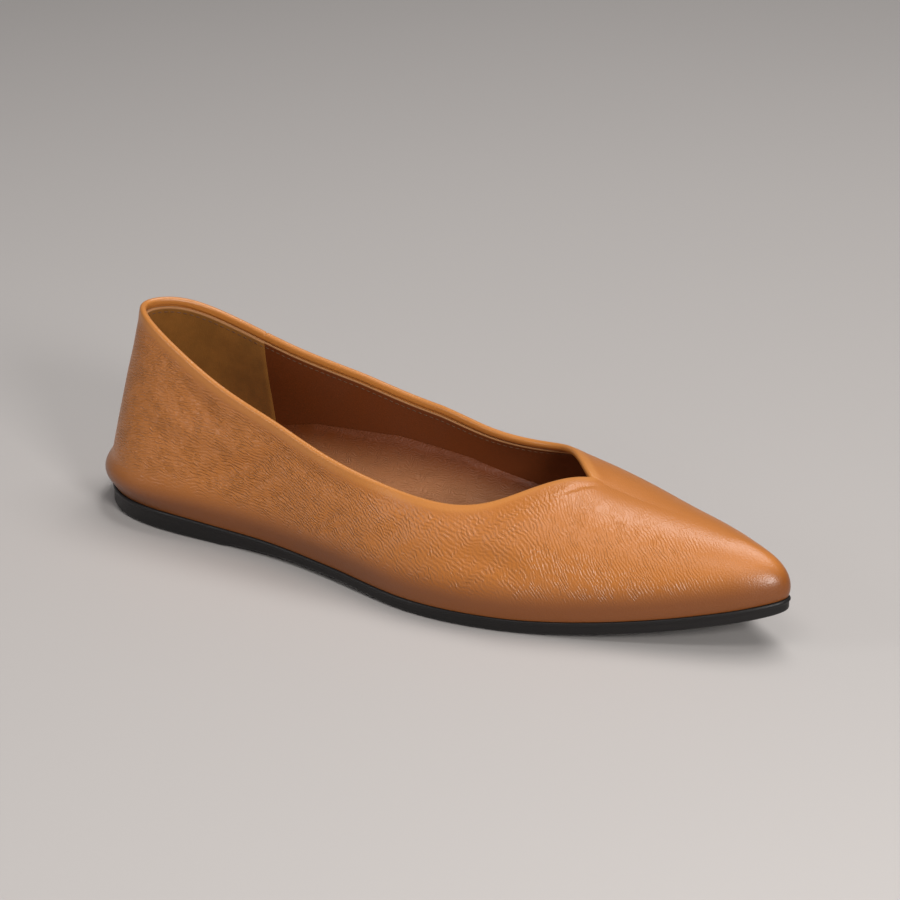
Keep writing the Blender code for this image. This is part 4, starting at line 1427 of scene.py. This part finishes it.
def make_stage(settings):
    """Pale floor, soft studio light and the photo's camera."""
    side = 3.0
    mesh = bpy.data.meshes.new("floor")
    mesh.from_pydata([(-side, -side, -0.1 * MM), (side, -side, -0.1 * MM), (side, side, -0.1 * MM),
                      (-side, side, -0.1 * MM)], [], [(0, 1, 2, 3)])
    material, tree, shader, place = new_material("pale studio floor", Specular_IOR_Level=0.2)
    tone = add_node(tree, "ShaderNodeTexNoise", {"Vector": place, "Scale": 3.0, "Detail": 2.0})
    base = blend_colours(tree, tone.outputs["Fac"], tuple(settings.floor_colour),
                         tuple(c * 0.97 for c in settings.floor_colour))
    rough = ramp(tree, tone.outputs["Fac"], 0.3, 0.7, 0.55, 0.65)
    link_shader(tree, shader, Base_Color=base, Roughness=rough)
    mesh.materials.append(material)
    floor = bpy.data.objects.new("floor", mesh)
    bpy.context.scene.collection.objects.link(floor)

    world = bpy.data.worlds.new("soft studio")
    world.use_nodes = True
    background = world.node_tree.nodes["Background"]
    background.inputs["Color"].default_value = (0.98, 0.98, 1.0, 1.0)
    background.inputs["Strength"].default_value = settings.sky
    bpy.context.scene.world = world
    soft_light("overhead", (0.36, 0.60, 2.0), (0.0, 0.0, 0.03), (1.2, 1.2), settings.key_power,
               (1.0, 0.985, 0.97))
    soft_light("vamp", (-0.08, 0.40, 0.95), (0.1, 0.0, 0.04), (0.3, 0.3),
               settings.key_power * 0.075, (1.0, 0.985, 0.97))
    soft_light("front", (0.18, -0.50, 0.95), (0.15, 0.0, 0.03), (0.6, 0.2),
               settings.toe_power * 0.45, (1.0, 0.98, 0.96))
    soft_light("toe", (0.74, -0.46, 0.44), (0.22, 0.0, 0.02), (0.24, 0.24),
               settings.toe_power * 1.1, (1.0, 0.98, 0.96))
    soft_light("left", (-0.64, -0.66, 0.46), (-0.05, 0.0, 0.03), (0.28, 0.28), settings.side_power,
               (1.0, 0.98, 0.97))
    bpy.context.scene.view_settings.view_transform = "Standard"

    turn, tilt = math.radians(CAMERA_AZIMUTH), math.radians(CAMERA_ELEVATION)
    back = Vector((math.sin(turn) * math.cos(tilt), -math.cos(turn) * math.cos(tilt),
                   math.sin(tilt)))
    target = Vector(CAMERA_TARGET) + Vector(SHIFT)
    camera = bpy.data.objects.new("camera", bpy.data.cameras.new("camera"))
    camera.data.sensor_width = 36.0
    camera.data.lens = CAMERA_LENS
    camera.location = target + back * CAMERA_DISTANCE
    camera.rotation_euler = (-back).to_track_quat("-Z", "Y").to_euler()
    bpy.context.scene.collection.objects.link(camera)
    bpy.context.scene.camera = camera


# Operators, panel and registration.

shared = {}


class FLAT_OT_stage(bpy.types.Operator):
    """Make the floor, the lights and the camera"""
    bl_idname = "flat_shoe.stage"
    bl_label = "Stage"

    def execute(self, context):
        make_stage(context.scene.flat_stage)
        return {"FINISHED"}


class FLAT_OT_upper(bpy.types.Operator):
    """Make the hollow leather upper with its turned rim"""
    bl_idname = "flat_shoe.upper"
    bl_label = "Leather upper"

    def execute(self, context):
        shared["form"] = make_upper(context.scene.flat_upper,
                                    context.scene.flat_lining.drop)
        return {"FINISHED"}


class FLAT_OT_lining(bpy.types.Operator):
    """Make the quarter lining, the heel grip and their stitches, after the upper"""
    bl_idname = "flat_shoe.lining"
    bl_label = "Linings"

    def execute(self, context):
        settings = context.scene.flat_lining
        if "form" not in shared:
            raise RuntimeError("the upper comes first")
        lined = make_lining(shared["form"], settings)
        make_grip(settings, lined)
        make_stitches(settings, lined)
        return {"FINISHED"}


class FLAT_OT_footbed(bpy.types.Operator):
    """Make the covered footbed"""
    bl_idname = "flat_shoe.footbed"
    bl_label = "Footbed"

    def execute(self, context):
        make_footbed(context.scene.flat_sole, tuple(context.scene.flat_lining.lining_colour))
        return {"FINISHED"}


class FLAT_OT_sole(bpy.types.Operator):
    """Make the rubber sole and its tread studs"""
    bl_idname = "flat_shoe.sole"
    bl_label = "Rubber sole"

    def execute(self, context):
        make_outsole(context.scene.flat_sole)
        make_tread(context.scene.flat_sole)
        return {"FINISHED"}


class FLAT_PT_panel(bpy.types.Panel):
    """The shoe's pieces and settings"""
    bl_idname = "FLAT_PT_panel"
    bl_label = "Flat Shoe"
    bl_space_type = "VIEW_3D"
    bl_region_type = "UI"
    bl_category = "Flat Shoe"

    def draw(self, context):
        scene = context.scene
        for settings, operators in ((scene.flat_upper, (FLAT_OT_upper,)),
                                    (scene.flat_lining, (FLAT_OT_lining,)),
                                    (scene.flat_sole, (FLAT_OT_footbed, FLAT_OT_sole)),
                                    (scene.flat_stage, (FLAT_OT_stage,))):
            box = self.layout.box()
            for name in settings.__annotations__:
                box.prop(settings, name)
            for operator in operators:
                box.operator(operator.bl_idname)


CLASSES = (UpperSettings, LiningSettings, SoleSettings, StageSettings, FLAT_OT_stage, FLAT_OT_upper,
           FLAT_OT_lining, FLAT_OT_footbed, FLAT_OT_sole, FLAT_PT_panel)
GROUPS = (("flat_upper", UpperSettings), ("flat_lining", LiningSettings),
          ("flat_sole", SoleSettings), ("flat_stage", StageSettings))


def register():
    """Make the classes and the scene's settings known."""
    for kind in CLASSES:
        bpy.utils.register_class(kind)
    for name, kind in GROUPS:
        setattr(bpy.types.Scene, name, bpy.props.PointerProperty(type=kind))


def unregister():
    """Take them away again."""
    for name, kind in GROUPS:
        delattr(bpy.types.Scene, name)
    for kind in reversed(CLASSES):
        bpy.utils.unregister_class(kind)


def main():
    """Build every piece in order."""
    register()
    for build in (bpy.ops.flat_shoe.stage, bpy.ops.flat_shoe.upper, bpy.ops.flat_shoe.lining,
                  bpy.ops.flat_shoe.footbed, bpy.ops.flat_shoe.sole):
        build()


if __name__ == "__main__":
    main()
